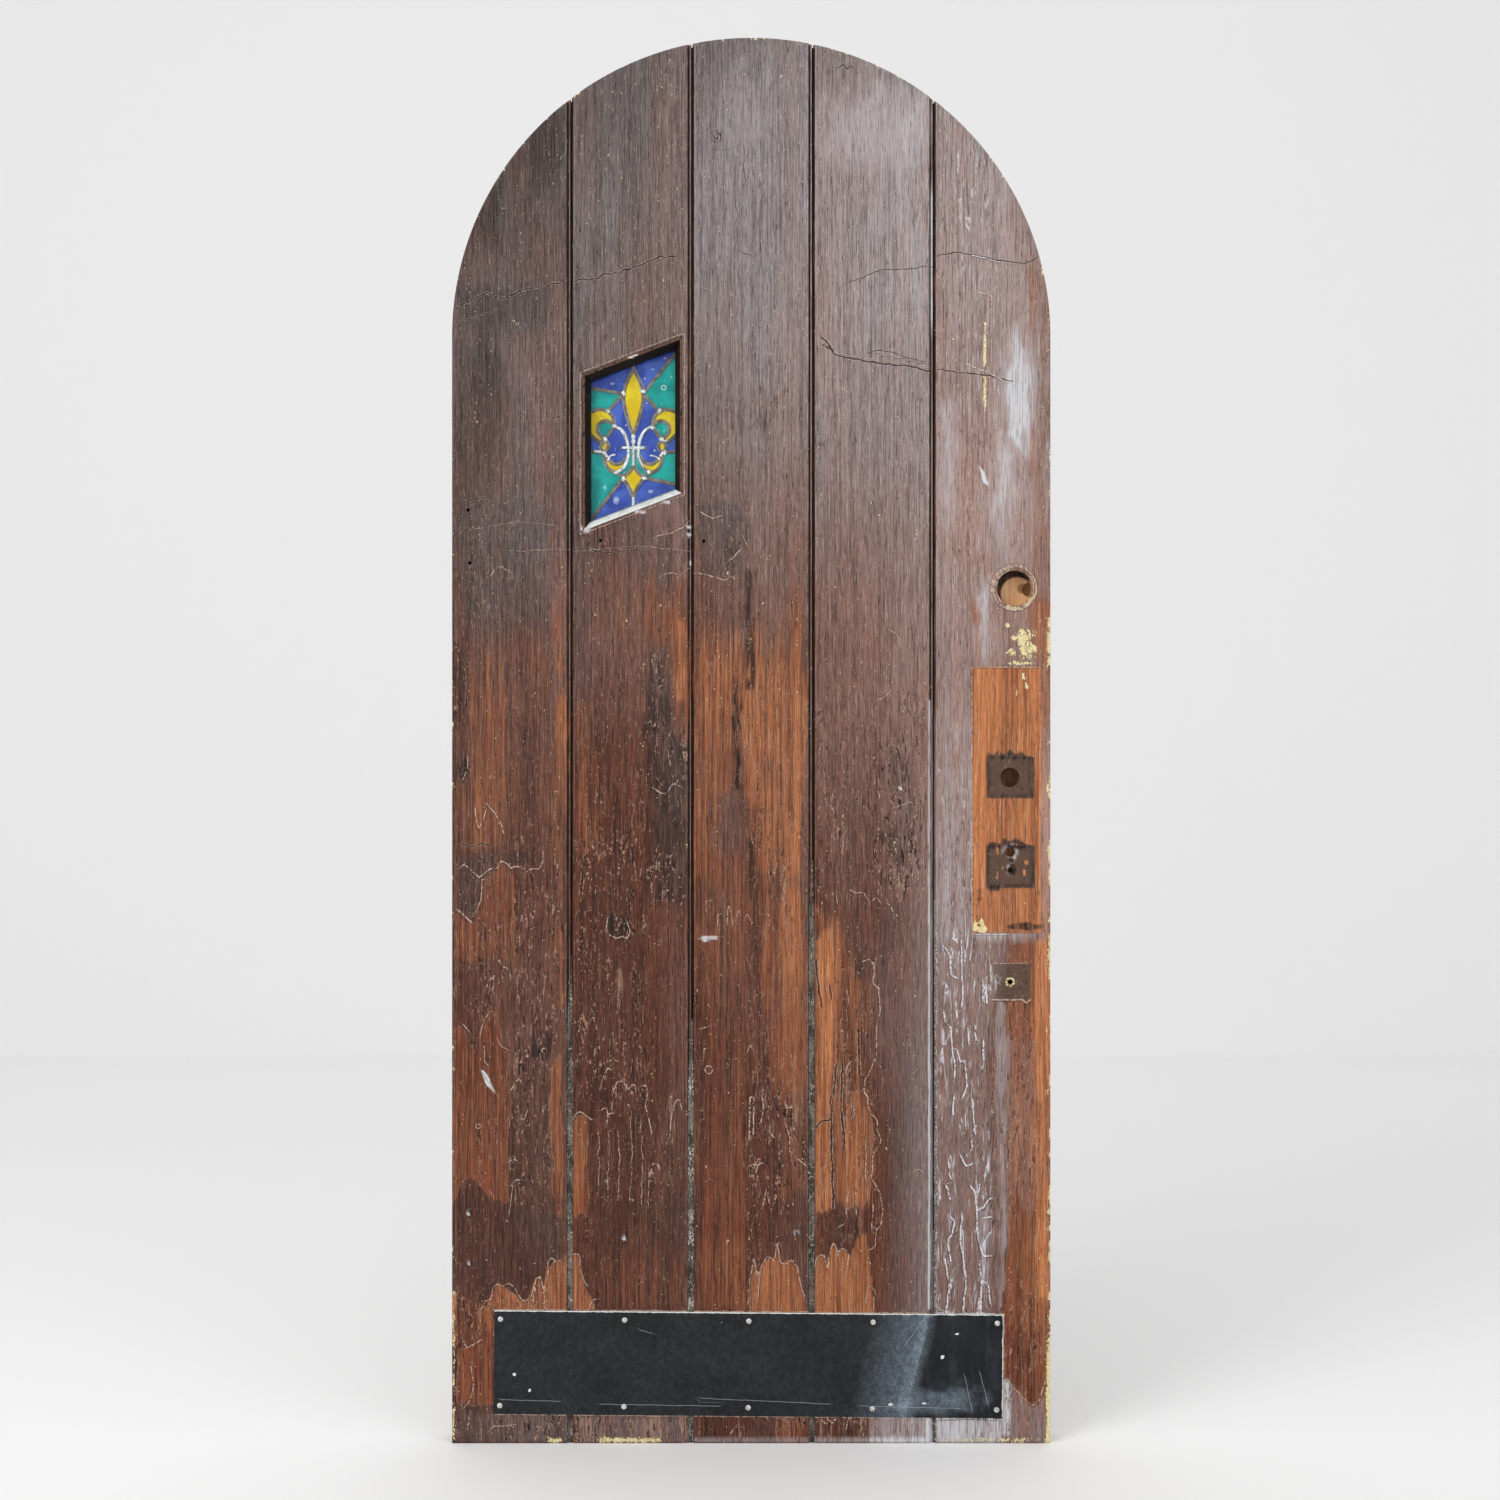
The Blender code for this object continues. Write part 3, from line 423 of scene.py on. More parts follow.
class Finish:
    """One procedural material, mixed step by step."""

    def __init__(self, name, **plain):
        self.material = bpy.data.materials.new(name)
        self.material.use_nodes = True
        self.tree = self.material.node_tree
        self.shader = self.tree.nodes["Principled BSDF"]
        for socket, value in plain.items():
            self.shader.inputs[socket.replace("_", " ")].default_value = value
        self.place = self.node("ShaderNodeTexCoord").outputs["Object"]

    def node(self, kind, inputs=(), **settings):
        """A new node with its settings, and its inputs given as numbers or as other nodes' outputs."""
        made = self.tree.nodes.new(kind)
        for key, value in settings.items():
            setattr(made, key, value)
        for key, value in dict(inputs).items():
            if isinstance(value, bpy.types.NodeSocket):
                self.tree.links.new(value, made.inputs[key])
            else:
                made.inputs[key].default_value = value
        return made

    def calc(self, how, a, b=0.0, c=0.0, clamp=False):
        return self.node("ShaderNodeMath", {0: a, 1: b, 2: c}, operation=how, use_clamp=clamp).outputs[0]

    def times(self, a, *others):
        for other in others:
            a = self.calc("MULTIPLY", a, other)
        return a

    def plus(self, a, *others):
        for other in others:
            a = self.calc("ADD", a, other)
        return a

    def step(self, value, low, high, start=0.0, end=1.0):
        """start below low, end above high, smooth between."""
        return self.node("ShaderNodeMapRange", {0: value, 1: low, 2: high, 3: start, 4: end},
                         interpolation_type="SMOOTHSTEP").outputs[0]

    def layer(self, name):
        """The wear that is stored on the piece under a name."""
        return self.node("ShaderNodeAttribute", attribute_name=name).outputs["Fac"]

    def noise(self, scale, detail=2.0, warp=0.0, rough=0.5, shift=0.0):
        """Unevenness at so many cycles to a metre along X, depth and height."""
        place = self.node("ShaderNodeMapping", {"Vector": self.place, "Location": (shift,) * 3, "Scale": scale})
        return self.node("ShaderNodeTexNoise", {"Vector": place.outputs[0], "Scale": 1.0, "Detail": detail,
                                               "Roughness": rough, "Distortion": warp}).outputs[0]

    def mix(self, share, a, b):
        """Colour a, with so much of it covered by b."""
        made = self.node("ShaderNodeMix", data_type="RGBA", clamp_factor=True)
        for key, value in (("Factor_Float", share), ("A_Color", a), ("B_Color", b)):
            socket = next(s for s in made.inputs if s.identifier == key)
            if isinstance(value, bpy.types.NodeSocket):
                self.tree.links.new(value, socket)
            else:
                socket.default_value = value
        return next(s for s in made.outputs if s.identifier == "Result_Color")

    def near(self, x, h, wide, tall, soft=0.5):
        """1 within an oval about a place on the leaf, in millimetres."""
        place = self.node("ShaderNodeMapping", {"Vector": self.place, "Scale": (1000 / wide, 0, 1000 / tall)})
        middle = ((x + HINGE_EDGE) / wide, 0, (h + FOOT) / tall)
        away = self.node("ShaderNodeVectorMath", {0: place.outputs[0], 1: middle},
                operation="DISTANCE").outputs["Value"]
        return self.step(away, 1 - soft, 1 + soft, 1.0, 0.0)

    def contour(self, value, level, width):
        """1 on the line where value passes level, fading over width."""
        return self.step(self.calc("ABSOLUTE", self.calc("SUBTRACT", value, level)), 0.0, width, 1.0, 0.0)

    def done(self, colour, roughness, height=None, strength=1.0, distance=0.001):
        """Joins the colour, the roughness and the relief to the shader."""
        self.tree.links.new(colour, self.shader.inputs["Base Color"])
        if isinstance(roughness, float):
            self.shader.inputs["Roughness"].default_value = roughness
        else:
            self.tree.links.new(roughness, self.shader.inputs["Roughness"])
        if height is not None:
            bump = self.node("ShaderNodeBump", {"Strength": strength, "Distance": distance, "Height": height})
            self.tree.links.new(bump.outputs[0], self.shader.inputs["Normal"])
        return self.material


def weathered_varnish():
    """Stained wood under old varnish: grey-brown high up, red-brown below, peeled to orange wood in places."""
    f = Finish("weathered_varnish", Specular_IOR_Level=0.16)
    streak = f.noise((300, 300, 5), 4, 0.3, 0.62)
    fine = f.noise((900, 900, 20), 2, 0.2, 0.6, 3.0)
    broad = f.noise((34, 34, 2.6), 2, 0.5, 0.5, 7.0)
    flake = f.noise((130, 130, 13), 4, 0.7, 0.6, 11.0)
    chip = f.noise((420, 420, 260), 3, 0.5, 0.6, 13.0)
    warm, pale, fresh = f.layer("warm"), f.layer("pale"), f.layer("fresh")
    dash = f.noise((600, 600, 70), 2, 0.4, 0.6, 21.0)
    # Varnish over stain. The pale layer is grey faded varnish with painted sheen on it. Each row is a pattern, from
    # where to where it shows and how much, and its tone on grey varnish, on red varnish and where the varnish is pale:
    # dark pores, rubbed grain, flecks; the pale flecks are painted highlights on little beads of varnish.
    varnish = f.mix(pale, f.mix(warm, tint(62, 52, 48), tint(86, 47, 34)),
            f.mix(warm, tint(154, 147, 149), tint(164, 126, 110)))
    for pattern, low, high, most, grey, red, faded_and_sheen in (
        (broad, 0.45, 0.75, 0.5, (80, 62, 56), (110, 58, 40), (160, 132, 122)),
        (streak, 0.48, 0.6, 0.55, (44, 29, 25), None, (104, 88, 86)),
        (streak, 0.44, 0.32, 0.4, (96, 80, 73), (124, 74, 50), (180, 164, 159)),
        (fine, 0.54, 0.64, 0.4, (116, 102, 94), (140, 93, 72), (196, 186, 184)),
        (fine, 0.45, 0.36, 0.6, (30, 20, 18), None, (80, 68, 66)),
        # Pale dashes: painted highlights on little beads of varnish.
        (dash, 0.61, 0.68, 0.46, (142, 106, 86), None, (204, 196, 194)),
        (dash, 0.38, 0.32, 0.75, (26, 16, 14), None, (62, 50, 48)),
    ):
        tone = f.mix(warm, tint(*grey), tint(*red)) if red else tint(*grey)
        varnish = f.mix(f.step(pattern, low, high, 0.0, most), varnish, f.mix(pale, tone, tint(*faded_and_sheen)))
    # Bare wood, in the same rows, with its tones where it is dull and where it is fresh.
    wood = f.mix(fresh, tint(102, 56, 41), tint(186, 114, 71))
    for pattern, low, high, most, dull, bright in (
        (broad, 0.42, 0.66, 0.6, (121, 61, 43), (203, 130, 80)),
        (streak, 0.46, 0.6, 0.75, (61, 35, 28), (132, 78, 52)),
        (streak, 0.42, 0.34, 0.5, (146, 87, 61), (222, 156, 106)),
        (dash, 0.4, 0.33, 0.7, (38, 21, 18), (90, 50, 35)),
        (fine, 0.53, 0.66, 0.55, (160, 108, 80), (234, 178, 130)),
    ):
        wood = f.mix(f.step(pattern, low, high, 0.0, most), wood, f.mix(fresh, tint(*dull), tint(*bright)))
    # The varnish wears thin in streaks, and has gone altogether where it peels.
    thin = f.step(f.plus(f.layer("worn"), f.times(f.calc("SUBTRACT", streak, 0.5), -1.3),
            f.times(f.calc("SUBTRACT", broad, 0.5), 1.2)), 0.05, 1.0)
    varnish = f.mix(f.times(thin, f.step(f.layer("worn"), 0.0, 0.45), 0.88), varnish, wood)
    peel = f.plus(f.layer("peel"), f.times(f.calc("SUBTRACT", flake, 0.5), 1.5))
    bare = f.step(peel, 0.48, 0.54)
    colour = f.mix(bare, varnish, wood)
    rim = f.times(f.contour(peel, 0.46, 0.09), f.step(f.layer("peel"), 0.15, 0.4))
    # Worm-like ridges of the crazed varnish, each with a painted shadow beside it, and the white dust that fills them
    # beside the lock.
    worm = f.noise((125, 125, 21), 2.5, 0.7, 0.55, 5.0)
    worms = f.contour(f.calc("FRACT", f.times(worm, 3.6)), 0.5, 0.13)
    craze = f.times(worms, f.step(chip, 0.44, 0.54), f.layer("craze"))
    craze_shadow = f.times(f.contour(f.calc("FRACT", f.plus(f.times(worm, 3.6), 0.17)), 0.5, 0.15),
            f.step(chip, 0.36, 0.46), f.layer("craze"))
    dust = f.times(f.contour(f.calc("FRACT", f.times(f.noise((60, 60, 9), 3, 1.4, 0.6, 9.0), 4.0)), 0.5, 0.16),
            f.step(flake, 0.44, 0.6), f.layer("dust"))
    soot = f.times(f.layer("soot"), f.step(flake, 0.36, 0.58))
    # Plates' ghosts, soot and painted shade, rain bloom with painted sheen on it, paint chips and cut wood lie over
    # it, and plain stain covers what is hidden.
    colour = f.mix(f.layer("ghost"), colour, f.mix(f.step(chip, 0.4, 0.62), tint(98, 76, 64), tint(80, 60, 50)))
    colour = f.mix(soot, colour, tint(42, 30, 27))
    # The haze: rain bloom, pale chips and filled nail heads, with painted sheen where it lies high up on the planks.
    colour = f.mix(f.times(f.layer("haze"), f.step(f.plus(fine, f.times(streak, 0.8), f.times(dash, 0.5)), 0.9, 1.35,
            0.3, 1.15)), colour, f.mix(f.step(f.layer("haze"), 0.5, 1.5), tint(182, 172, 174), tint(206, 209, 214)))
    colour = f.mix(f.times(rim, 0.62), colour, tint(186, 150, 130))
    colour = f.mix(f.times(craze_shadow, 0.8), colour, tint(34, 22, 19))
    colour = f.mix(f.times(craze, 0.8), colour, tint(178, 140, 122))
    colour = f.mix(f.times(dust, 0.85), colour, tint(220, 220, 228))
    grit = f.step(f.plus(f.layer("grit"), f.times(f.calc("SUBTRACT", chip, 0.5), 0.9)), 0.45, 0.55)
    colour = f.mix(grit, colour, f.mix(f.step(chip, 0.5, 0.6), tint(96, 90, 84), tint(188, 184, 178)))
    cream = f.step(f.plus(f.layer("cream"), f.times(f.calc("SUBTRACT", chip, 0.5), 2.6),
            f.times(f.calc("SUBTRACT", flake, 0.5), 1.0)), 0.52, 0.6)
    colour = f.mix(cream, colour, f.mix(f.step(chip, 0.45, 0.6), tint(216, 196, 140), tint(236, 224, 178)))
    colour = f.mix(f.layer("raw"), colour, f.mix(fresh, f.mix(f.step(streak, 0.4, 0.7), tint(150, 102, 70),
            tint(106, 68, 46)), f.mix(f.step(streak, 0.4, 0.7), tint(250, 204, 156), tint(222, 168, 122))))
    back = f.mix(f.step(broad, 0.4, 0.68), f.mix(f.step(streak, 0.42, 0.7), tint(116, 73, 52), tint(82, 48, 36)),
            f.mix(f.step(streak, 0.42, 0.66), tint(98, 58, 42), tint(60, 36, 28)))
    back = f.mix(f.times(f.step(dash, 0.62, 0.68), 0.4), back, tint(148, 106, 80))
    back = f.mix(f.times(f.step(fine, 0.42, 0.34), 0.5), back, tint(48, 28, 22))
    colour = f.mix(f.layer("hidden"), colour, back)
    # Cracks have pale lifted edges, and seams a bright ridge with a shadow beside it.
    crack, seam = f.layer("crack"), f.layer("seam")
    split = f.times(f.step(f.calc("ABSOLUTE", crack), 0.5, 1.2, 1.0, 0.0), f.step(chip, 0.3, 0.42))
    lifted = f.times(f.contour(f.calc("ABSOLUTE", crack), 1.6, 0.8), f.step(chip, 0.44, 0.54), 0.8)
    raised = f.times(f.step(f.calc("ABSOLUTE", seam), 0.5, 1.1, 1.0, 0.0), f.step(chip, 0.4, 0.52))
    shadow = f.times(f.contour(seam, -1.6, 0.8), 0.6)
    colour = f.mix(lifted, colour, tint(184, 166, 154))
    colour = f.mix(f.times(split, 0.9), colour, tint(34, 25, 23))
    colour = f.mix(shadow, colour, tint(44, 28, 25))
    colour = f.mix(f.times(raised, 0.9), colour, f.mix(f.layer("dust"), tint(206, 180, 162), tint(232, 234, 242)))
    height = f.plus(f.times(streak, 0.16), f.times(fine, 0.07), f.times(craze, 0.4), f.times(dust, 0.25),
            f.times(rim, 0.3), f.times(raised, 0.4), f.times(bare, -0.3), f.times(split, -0.9), f.times(cream, -0.4),
            f.times(grit, chip, 0.8))
    roughness = f.step(f.plus(f.times(bare, 0.5), broad, f.layer("haze"), f.times(grit, 0.8),
            f.times(f.layer("raw"), 1.0)), 0.2, 1.6, 0.4, 0.8)
    return f.done(colour, roughness, height, 1.0, 0.0011)


VARNISH = weathered_varnish()


def new_plank(index, seed, cutters, across=ACROSS, heights=None):
    """Cuts one plank out and gives it the wear that all the planks share, with painted shade down in the joints' mouths
    and painted highlights on their beads and arrises.
    """
    if heights is None:
        heights = np.linspace(0, LEAF_HEIGHT + 2, round(LEAF_HEIGHT / UP) + 1)
    wood = Wood(cut(prism_mesh(f"plank_{index + 1}", plank_section(index, across), heights), cutters), seed)
    wood.add(wood.along((0, 1), (900, 1), (1500, 0.45), (1850, 0.12), (2146, 0.0)), warm=1)
    wood.add(wood.rough(45, 260, 1) - 0.5, warm=0.55)
    wood.add(wood.rough(60, 200, 13) - 0.5, pale=0.16)
    wood.add(wood.along((0, 1), (480, 1), (640, 0)), pale=-0.07)
    low = wood.along((0, 1), (700, 1), (1250, 0.35), (1400, 0.05), (2146, 0.0))
    wood.add(low * np.clip(wood.rough(34, 130, 2) * 2.2 - 0.75, 0, 1), craze=1)
    wood.add(low * np.clip(wood.rough(26, 170, 3) - 0.25, 0, 1), peel=0.5)
    wood.add(wood.rough(30, 160, 4), fresh=0.35)
    # The joints' mouths: painted shade that deepens down into the groove, and a painted highlight along the bead.
    mouth = (wood.depth > 0.3) & (wood.depth < 12) & (wood.rim > 3)
    bead = (np.minimum(abs(wood.x - JOINTS[index + 1] + 0.7),
            abs(wood.x - JOINTS[index] + 0.7)) < 1.1) & (wood.depth > 3) & (wood.depth < 4.4)
    wood.add(mouth, pale=-1, warm=0.4, craze=-1, peel=-1)
    wood.add(mouth * np.clip((wood.depth - 0.8) / 1.4, 0, 1) * (1 - bead), soot=2.4)
    wood.add(bead, pale=1.3, warm=-0.5)
    # A painted highlight along the arrises beside the joints, broken up.
    arris = np.clip(1 - np.minimum(abs(wood.x - JOINTS[index + 1] + 5.5), abs(wood.x - JOINTS[index] - 5.5)) / 1.6, 0,
            1)
    wood.add(arris * wood.face * np.clip(wood.rough(5, 40, 18) * 1.6 - 0.2, 0, 1), pale=0.3)
    wood.add((wood.depth > 12) & (wood.depth < LEAF_THICKNESS - 3.2) & (wood.rim > 3), raw=1)
    wood.add(((wood.depth >= LEAF_THICKNESS - 3.2) | (wood.rim <= 3) & (wood.depth > 1.3)) * 1.0, hidden=1)
    arris = np.clip(1 - wood.rim / 5, 0, 1) * np.clip(1 - wood.depth / 3, 0, 1)
    wood.add(arris * np.clip(wood.rough(6, 16, 14) * 2.4 - 1.35, 0, 1), cream=0.8)
    chips = np.clip(wood.rough(7, 11, 15) * 3 - 2.1, 0, 1)
    for start, end in (((-1, 1), (1, 1)), ((1, 1), (1, -1)), ((1, -1), (-1, -1))):
        wood.line("seam", plate_corner(*start, 1.2), plate_corner(*end, 1.2), wide=0.9, wander=1.2)
    edge = np.minimum(abs(wood.x - JOINTS[index] - 6), abs(wood.x - JOINTS[index + 1] + 6))
    wood.relief += 0.22 * (wood.rough(40, 300, 9) - 0.5) + 0.16 * (wood.rough(6, 60, 10) - 0.5)
    wood.relief -= 1.4 * chips * np.clip(1.6 - edge / 2.5, 0, 1) + 1.2 * chips * np.clip(1.6 - wood.rim / 3, 0, 1)
    return wood


hinge_gains = [cutter_block([(-CUT_PAST, h - 51), (2.5, h - 51), (2.5, h + 51), (-CUT_PAST, h + 51)],
                            LEAF_THICKNESS - 38, LEAF_THICKNESS + CUT_PAST) for h in (330, 900, 1470)]
p = new_plank(0, 11, [arch_cutter(), *hinge_gains, strap_hole(24.4, 1424.9), strap_hole(27.5, 1343.9),
        *kick_screw_holes([0])])
# Paler high up and to the right: faded grey varnish, with painted sheen on it.
p.add(p.along((2000, 0.05), (1700, 0.2), (1400, 0.16), (1150, 0.12), (900, 0.06), (0, 0.05))
      + p.across((0, -0.03), (180, 0.08)), pale=1)
p.add(p.box(0, 1990, 73, 1822, 20), pale=-0.12)
p.add(p.box(0, 1685, 76, 1440, 20), pale=-0.07, warm=-0.3)
p.add(p.box(86, 1349, 165, 1104, 20), pale=0.05, warm=0.2)
p.add(p.box(37, 1852, 73, 1761, 14), warm=0.3)
p.add(p.box(116, 2059, 168, 1914, 16), pale=-0.1, warm=-0.3)
p.add(p.box(9, 1767, 147, 1700, 12), pale=-0.1, warm=-0.4)
p.add(p.box(5, 1448, 142, 1249, 26), pale=-0.04, warm=-0.55, craze=0.3)
p.worn(p.patch((27, 1287), (64, 1226), (81, 1135), (82, 982), (70, 906), (31, 906), (21, 982), (24, 1150), soft=56,
       ragged=6) * p.along((1303, 0), (1135, 1)), 0.72, 0.12)
p.worn(p.box(134, 1349, 159, 1104, 30, 0.9, 50) * p.along((1349, 0), (1196, 1)), 0.6, 0.1)
p.worn(p.box(159, 1196, 177, 661, 12, 0.9, 50), 0.6, 0.26)
p.add(p.box(3, 1226, 18, 1097, 5, 0.8, 20), soot=0.6, craze=0.8)
p.add(p.spot(17, 1032, 8, 22, 0.3, 0.4), soot=1, warm=-0.6)
p.add(p.patch((6, 906), (142, 906), (139, 887), (73, 887), (49, 863), (43, 822), (34, 796), (6, 817), soft=4,
      ragged=3), soot=0.35, warm=-0.4, peel=-0.4)
p.worn(p.patch((49, 860), (73, 881), (96, 875), (92, 738), (6, 735), (6, 806), (31, 791), (44, 822), soft=12,
       ragged=4), 0.62, 0.0)
p.add(p.box(95, 951, 165, 600, 8), craze=0.9, soot=0.15)
p.add(p.box(86, 600, 147, 348, 8), craze=0.9, soot=0.3, peel=0.12)
p.add(p.box(92, 707, 110, 661, 4) + p.box(119, 631, 153, 588, 5), soot=0.7)
p.peeled(p.patch((2, 631), (15, 637), (27, 612), (34, 600), (43, 634), (55, 660), (70, 658), (73, 615), (86, 600),
         (89, 524), (84, 425), (87, 368), (53, 374), (43, 392), (27, 406), (15, 397), (11, 376), (2, 368), soft=4,
         ragged=2.5), 0.8, 0.0)
p.add(p.patch((47, 615), (53, 611), (58, 582), (53, 576), (49, 588), soft=2, ragged=0.5), peel=-0.9)
p.ring("seam", 40, 484, 4, 0.7)
p.ring("seam", 141, 599, 4, 1.0, 20, 230)
p.peeled(p.patch((151, 577), (168, 593), (170, 344), (160, 347), (151, 379), soft=4, ragged=4), 0.7, 0.04)
p.add(p.patch((2, 363), (11, 376), (27, 406), (55, 373), (104, 362), (170, 344), (170, 287), (134, 257), (104, 221),
      (73, 244), (40, 211), (2, 234), soft=5, ragged=2), peel=-0.7, warm=-0.35, soot=0.15, craze=-0.7)
p.peeled(p.patch((40, 200), (58, 220), (63, 241), (87, 244), (98, 231), (107, 217), (119, 221), (124, 240),
         (131, 257), (139, 234), (144, 276), (153, 283), (165, 279), (177, 292), (188, 173), (40, 173), soft=3,
         ragged=1), 0.85, 0.26)
p.peeled(p.patch((43, 211), (67, 211), (67, 58), (9, 58), (8, 142), (21, 142), (37, 154), soft=6, ragged=2), 0.75,
         -0.05)
p.peeled(p.box(0, 234, 8, 150, 3, 0.8, 30), 0.7, 0.3)
p.add(p.box(0, 53, 188, -5, 12, 0.8, 20, 10), haze=0.1, warm=-0.2, pale=0.1, peel=-0.4, craze=0.8)
p.add(p.box(144, 38, 183, 5, 3) + p.box(0, 11, 183, -5, 3) * 0.6, soot=0.4)
p.add(p.patch((44, 570), (52, 565), (58, 553), (64, 536), (52, 548), soft=1.4, ragged=0.3), haze=2.2)
for nail in ((25, 351), (26, 275)):
    p.add(p.spot(*nail, 5.2, 5.2, 0, 0.3), soot=2.2)
    p.add(p.spot(*nail, 2.5, 2.5, 0, 0.5), haze=1.5, soot=-3)
    p.relief += 0.9 * p.spot(*nail, 4, 4, 0, 0.6)
p.add(p.box(0, 234, 6, 0, 2), cream=0.45)
p.add(p.box(145, 8, 168, 0, 1.5), cream=0.9)
# Cracks, each with its half width, how far it wanders, and its course.
for wide, wander, *course in (
    (0.9, 5, (5, 1732), (27, 1744), (53, 1756), (63, 1752), (73, 1747), (104, 1759), (128, 1764), (153, 1770),
     (176, 1775)),
    (0.6, 3, (5, 1712), (40, 1721), (73, 1733)), (0.6, 3, (142, 1562), (173, 1570)),
    (0.7, 3, (6, 1445), (27, 1433), (46, 1445), (73, 1428)), (0.9, 2, (12, 916), (31, 910), (46, 916), (61, 912)),
):
    p.line("crack", *course, wide=wide, wander=wander)
# Seams of lifted varnish and its curls, in the same way.
for wide, wander, *course in (
    (0.4, 3, (27, 1394), (104, 1408), (165, 1399)), (0.5, 3, (89, 1362), (180, 1365)),
    (0.8, 1, (57, 1320), (66, 1335), (75, 1339), (84, 1332)), (0.7, 1, (24, 1051), (24, 1031), (17, 1013)),
    (0.9, 1, (35, 970), (37, 951), (41, 938), (47, 948), (52, 967)),
    (0.9, 1, (52, 977), (64, 964), (75, 947), (79, 929)),
    (1.1, 1, (11, 878), (18, 884), (26, 878), (41, 864), (49, 869), (58, 877), (69, 878), (75, 889), (86, 884),
     (90, 877), (95, 881), (105, 880)),
    (1.0, 1, (111, 871), (122, 877), (134, 877), (139, 890)), (1.3, 0.6, (6, 816), (18, 806), (31, 794)),
    (0.9, 1, (46, 860), (44, 829), (34, 805)), (0.9, 1, (70, 738), (79, 727), (86, 725), (90, 710)),
    (0.9, 1, (50, 693), (58, 707), (64, 715), (63, 692)), (0.8, 0.6, (49, 608), (50, 582), (55, 576)),
    (0.9, 1.8, (43, 622), (49, 646), (58, 658)), (1.0, 1.8, (17, 640), (27, 628)),
    (0.9, 1.8, (69, 619), (73, 606), (86, 600)), (1.0, 1.8, (90, 539), (95, 548), (102, 557)),
    (0.8, 0.8, (104, 496), (110, 493), (116, 509)), (1.0, 1.8, (87, 429), (95, 435), (99, 431)),
    (1.2, 0.8, (92, 396), (98, 402), (104, 402)), (0.7, 1, (93, 394), (87, 348)),
    (1.0, 1.8, (44, 205), (52, 217), (60, 220), (63, 238), (69, 243), (76, 238), (86, 244), (95, 238), (101, 226),
     (110, 217), (119, 220), (125, 237), (128, 250), (134, 255), (139, 238), (142, 231)),
    (0.9, 1.8, (144, 257), (147, 279), (153, 283), (159, 276), (166, 279)),
    (0.8, 0.8, (119, 203), (125, 218), (128, 237)), (0.8, 0.8, (141, 203), (141, 234), (148, 264)),
    (1.0, 1.8, (15, 162), (23, 145), (32, 150), (43, 157)),
    (0.9, 1.5, (27, 124), (32, 99), (32, 81), (26, 63), (17, 53)), (0.8, 0.8, (58, 20), (64, 26), (81, 26), (99, 29)),
    (1.2, 0.4, (46, 567), (55, 554), (58, 551)), (0.8, 0.4, (55, 554), (66, 536)),
):
    p.line("seam", *course, wide=wide, wander=wander)
p.finish("plank_1_wood", "plank_1")


# ---------------------------------------------------------------- second plank
# The plank that holds the light. Its opening leans, with a lip at the back that the glass rests against.
OPENING_CENTRE = (275.4, 1541.6)
OPENING_WIDTH, OPENING_HEIGHT, OPENING_RISE = 153.2, 241.0, 58.6


def light_corners(inset):
    """Corners of the leaning opening, from lower left, brought in by inset on all sides."""
    shear = OPENING_RISE / OPENING_WIDTH
    half_width = OPENING_WIDTH / 2 - inset
    half_height = OPENING_HEIGHT / 2 - inset * math.hypot(1, shear)
    x, h = OPENING_CENTRE
    return [(x + s * half_width, h + s * half_width * shear + u * half_height) for s,
            u in ((-1, -1), (1, -1), (1, 1), (-1, 1))]


p = new_plank(1, 22, [arch_cutter(), cutter_block(light_corners(0), -CUT_PAST, LEAF_THICKNESS - 10.5),
                      cutter_block(light_corners(11.8), 20, LEAF_THICKNESS + CUT_PAST), strap_hole(226.9, 1378.4),
                      *kick_screw_holes([1])])
# Paler high up and to the right: faded grey varnish, with painted sheen on it.
p.add(p.along((2146, 0.24), (1900, 0.36), (1700, 0.36), (1400, 0.24), (1100, 0.1), (900, 0.04), (0, 0.02))
      + p.across((180, -0.05), (365, 0.06)), pale=1)
p.add(p.box(284, 2066, 360, 1700, 16), warm=0.15, pale=0.04)
for chip in ((289, 1423, 7, 2.2), (328, 1437, 5, 1.8), (205, 1396, 6, 4)):
    p.add(p.spot(*chip, 0.5, 0.5), haze=1.8)
corners = light_corners(-3.2)
p.line("seam", *corners, corners[0], wide=0.7, wander=0.6)
p.add(p.box(186, 1471, 205, 1379, 6), soot=0.4)
p.add(p.box(186, 1402, 363, 1349, 8), soot=0.15, craze=0.5)
for chip in ((363, 1399), (363, 1387), (365, 1344)):
    p.add(p.spot(*chip, 4, 3, 0.3, 0.4), haze=1.6, soot=-1)
p.worn(p.box(186, 1349, 342, 1196, 40), 0.34, 0.02)
p.worn(p.patch((287, 1326), (318, 1333), (348, 1341), (363, 1341), (363, 1081), (351, 1089), (342, 1135), (336, 1211),
       (302, 1257), soft=48, ragged=6) * p.along((1336, 0), (1226, 1)), 0.84, 0.26)
p.worn(p.box(344, 1257, 359, 1135, 6, 0.9, 60), 0.4, 0.55)
p.add(p.patch((302, 1203), (324, 1211), (336, 1104), (356, 1043), (359, 822), (299, 822), (302, 982), (293, 1074),
      soft=10, ragged=6), soot=0.7, craze=0.9, warm=-0.3)
p.worn(p.box(186, 1135, 226, 890, 12, 0.9, 60), 0.4, 0.15)
p.add(p.spot(254, 790, 17, 17, 0.3, 0.3), soot=1)
p.add(p.box(186, 921, 299, 524, 12), craze=0.95, soot=0.12)
p.add(p.box(287, 829, 354, 677, 10), craze=-0.4, warm=0.1)
p.add(p.box(305, 677, 354, 539, 10), craze=-0.9, peel=-0.4)
p.add(p.box(211, 545, 310, 359, 8, 0.8, 30, 14), peel=-0.12, craze=0.35, fresh=0.0, soot=0.3)
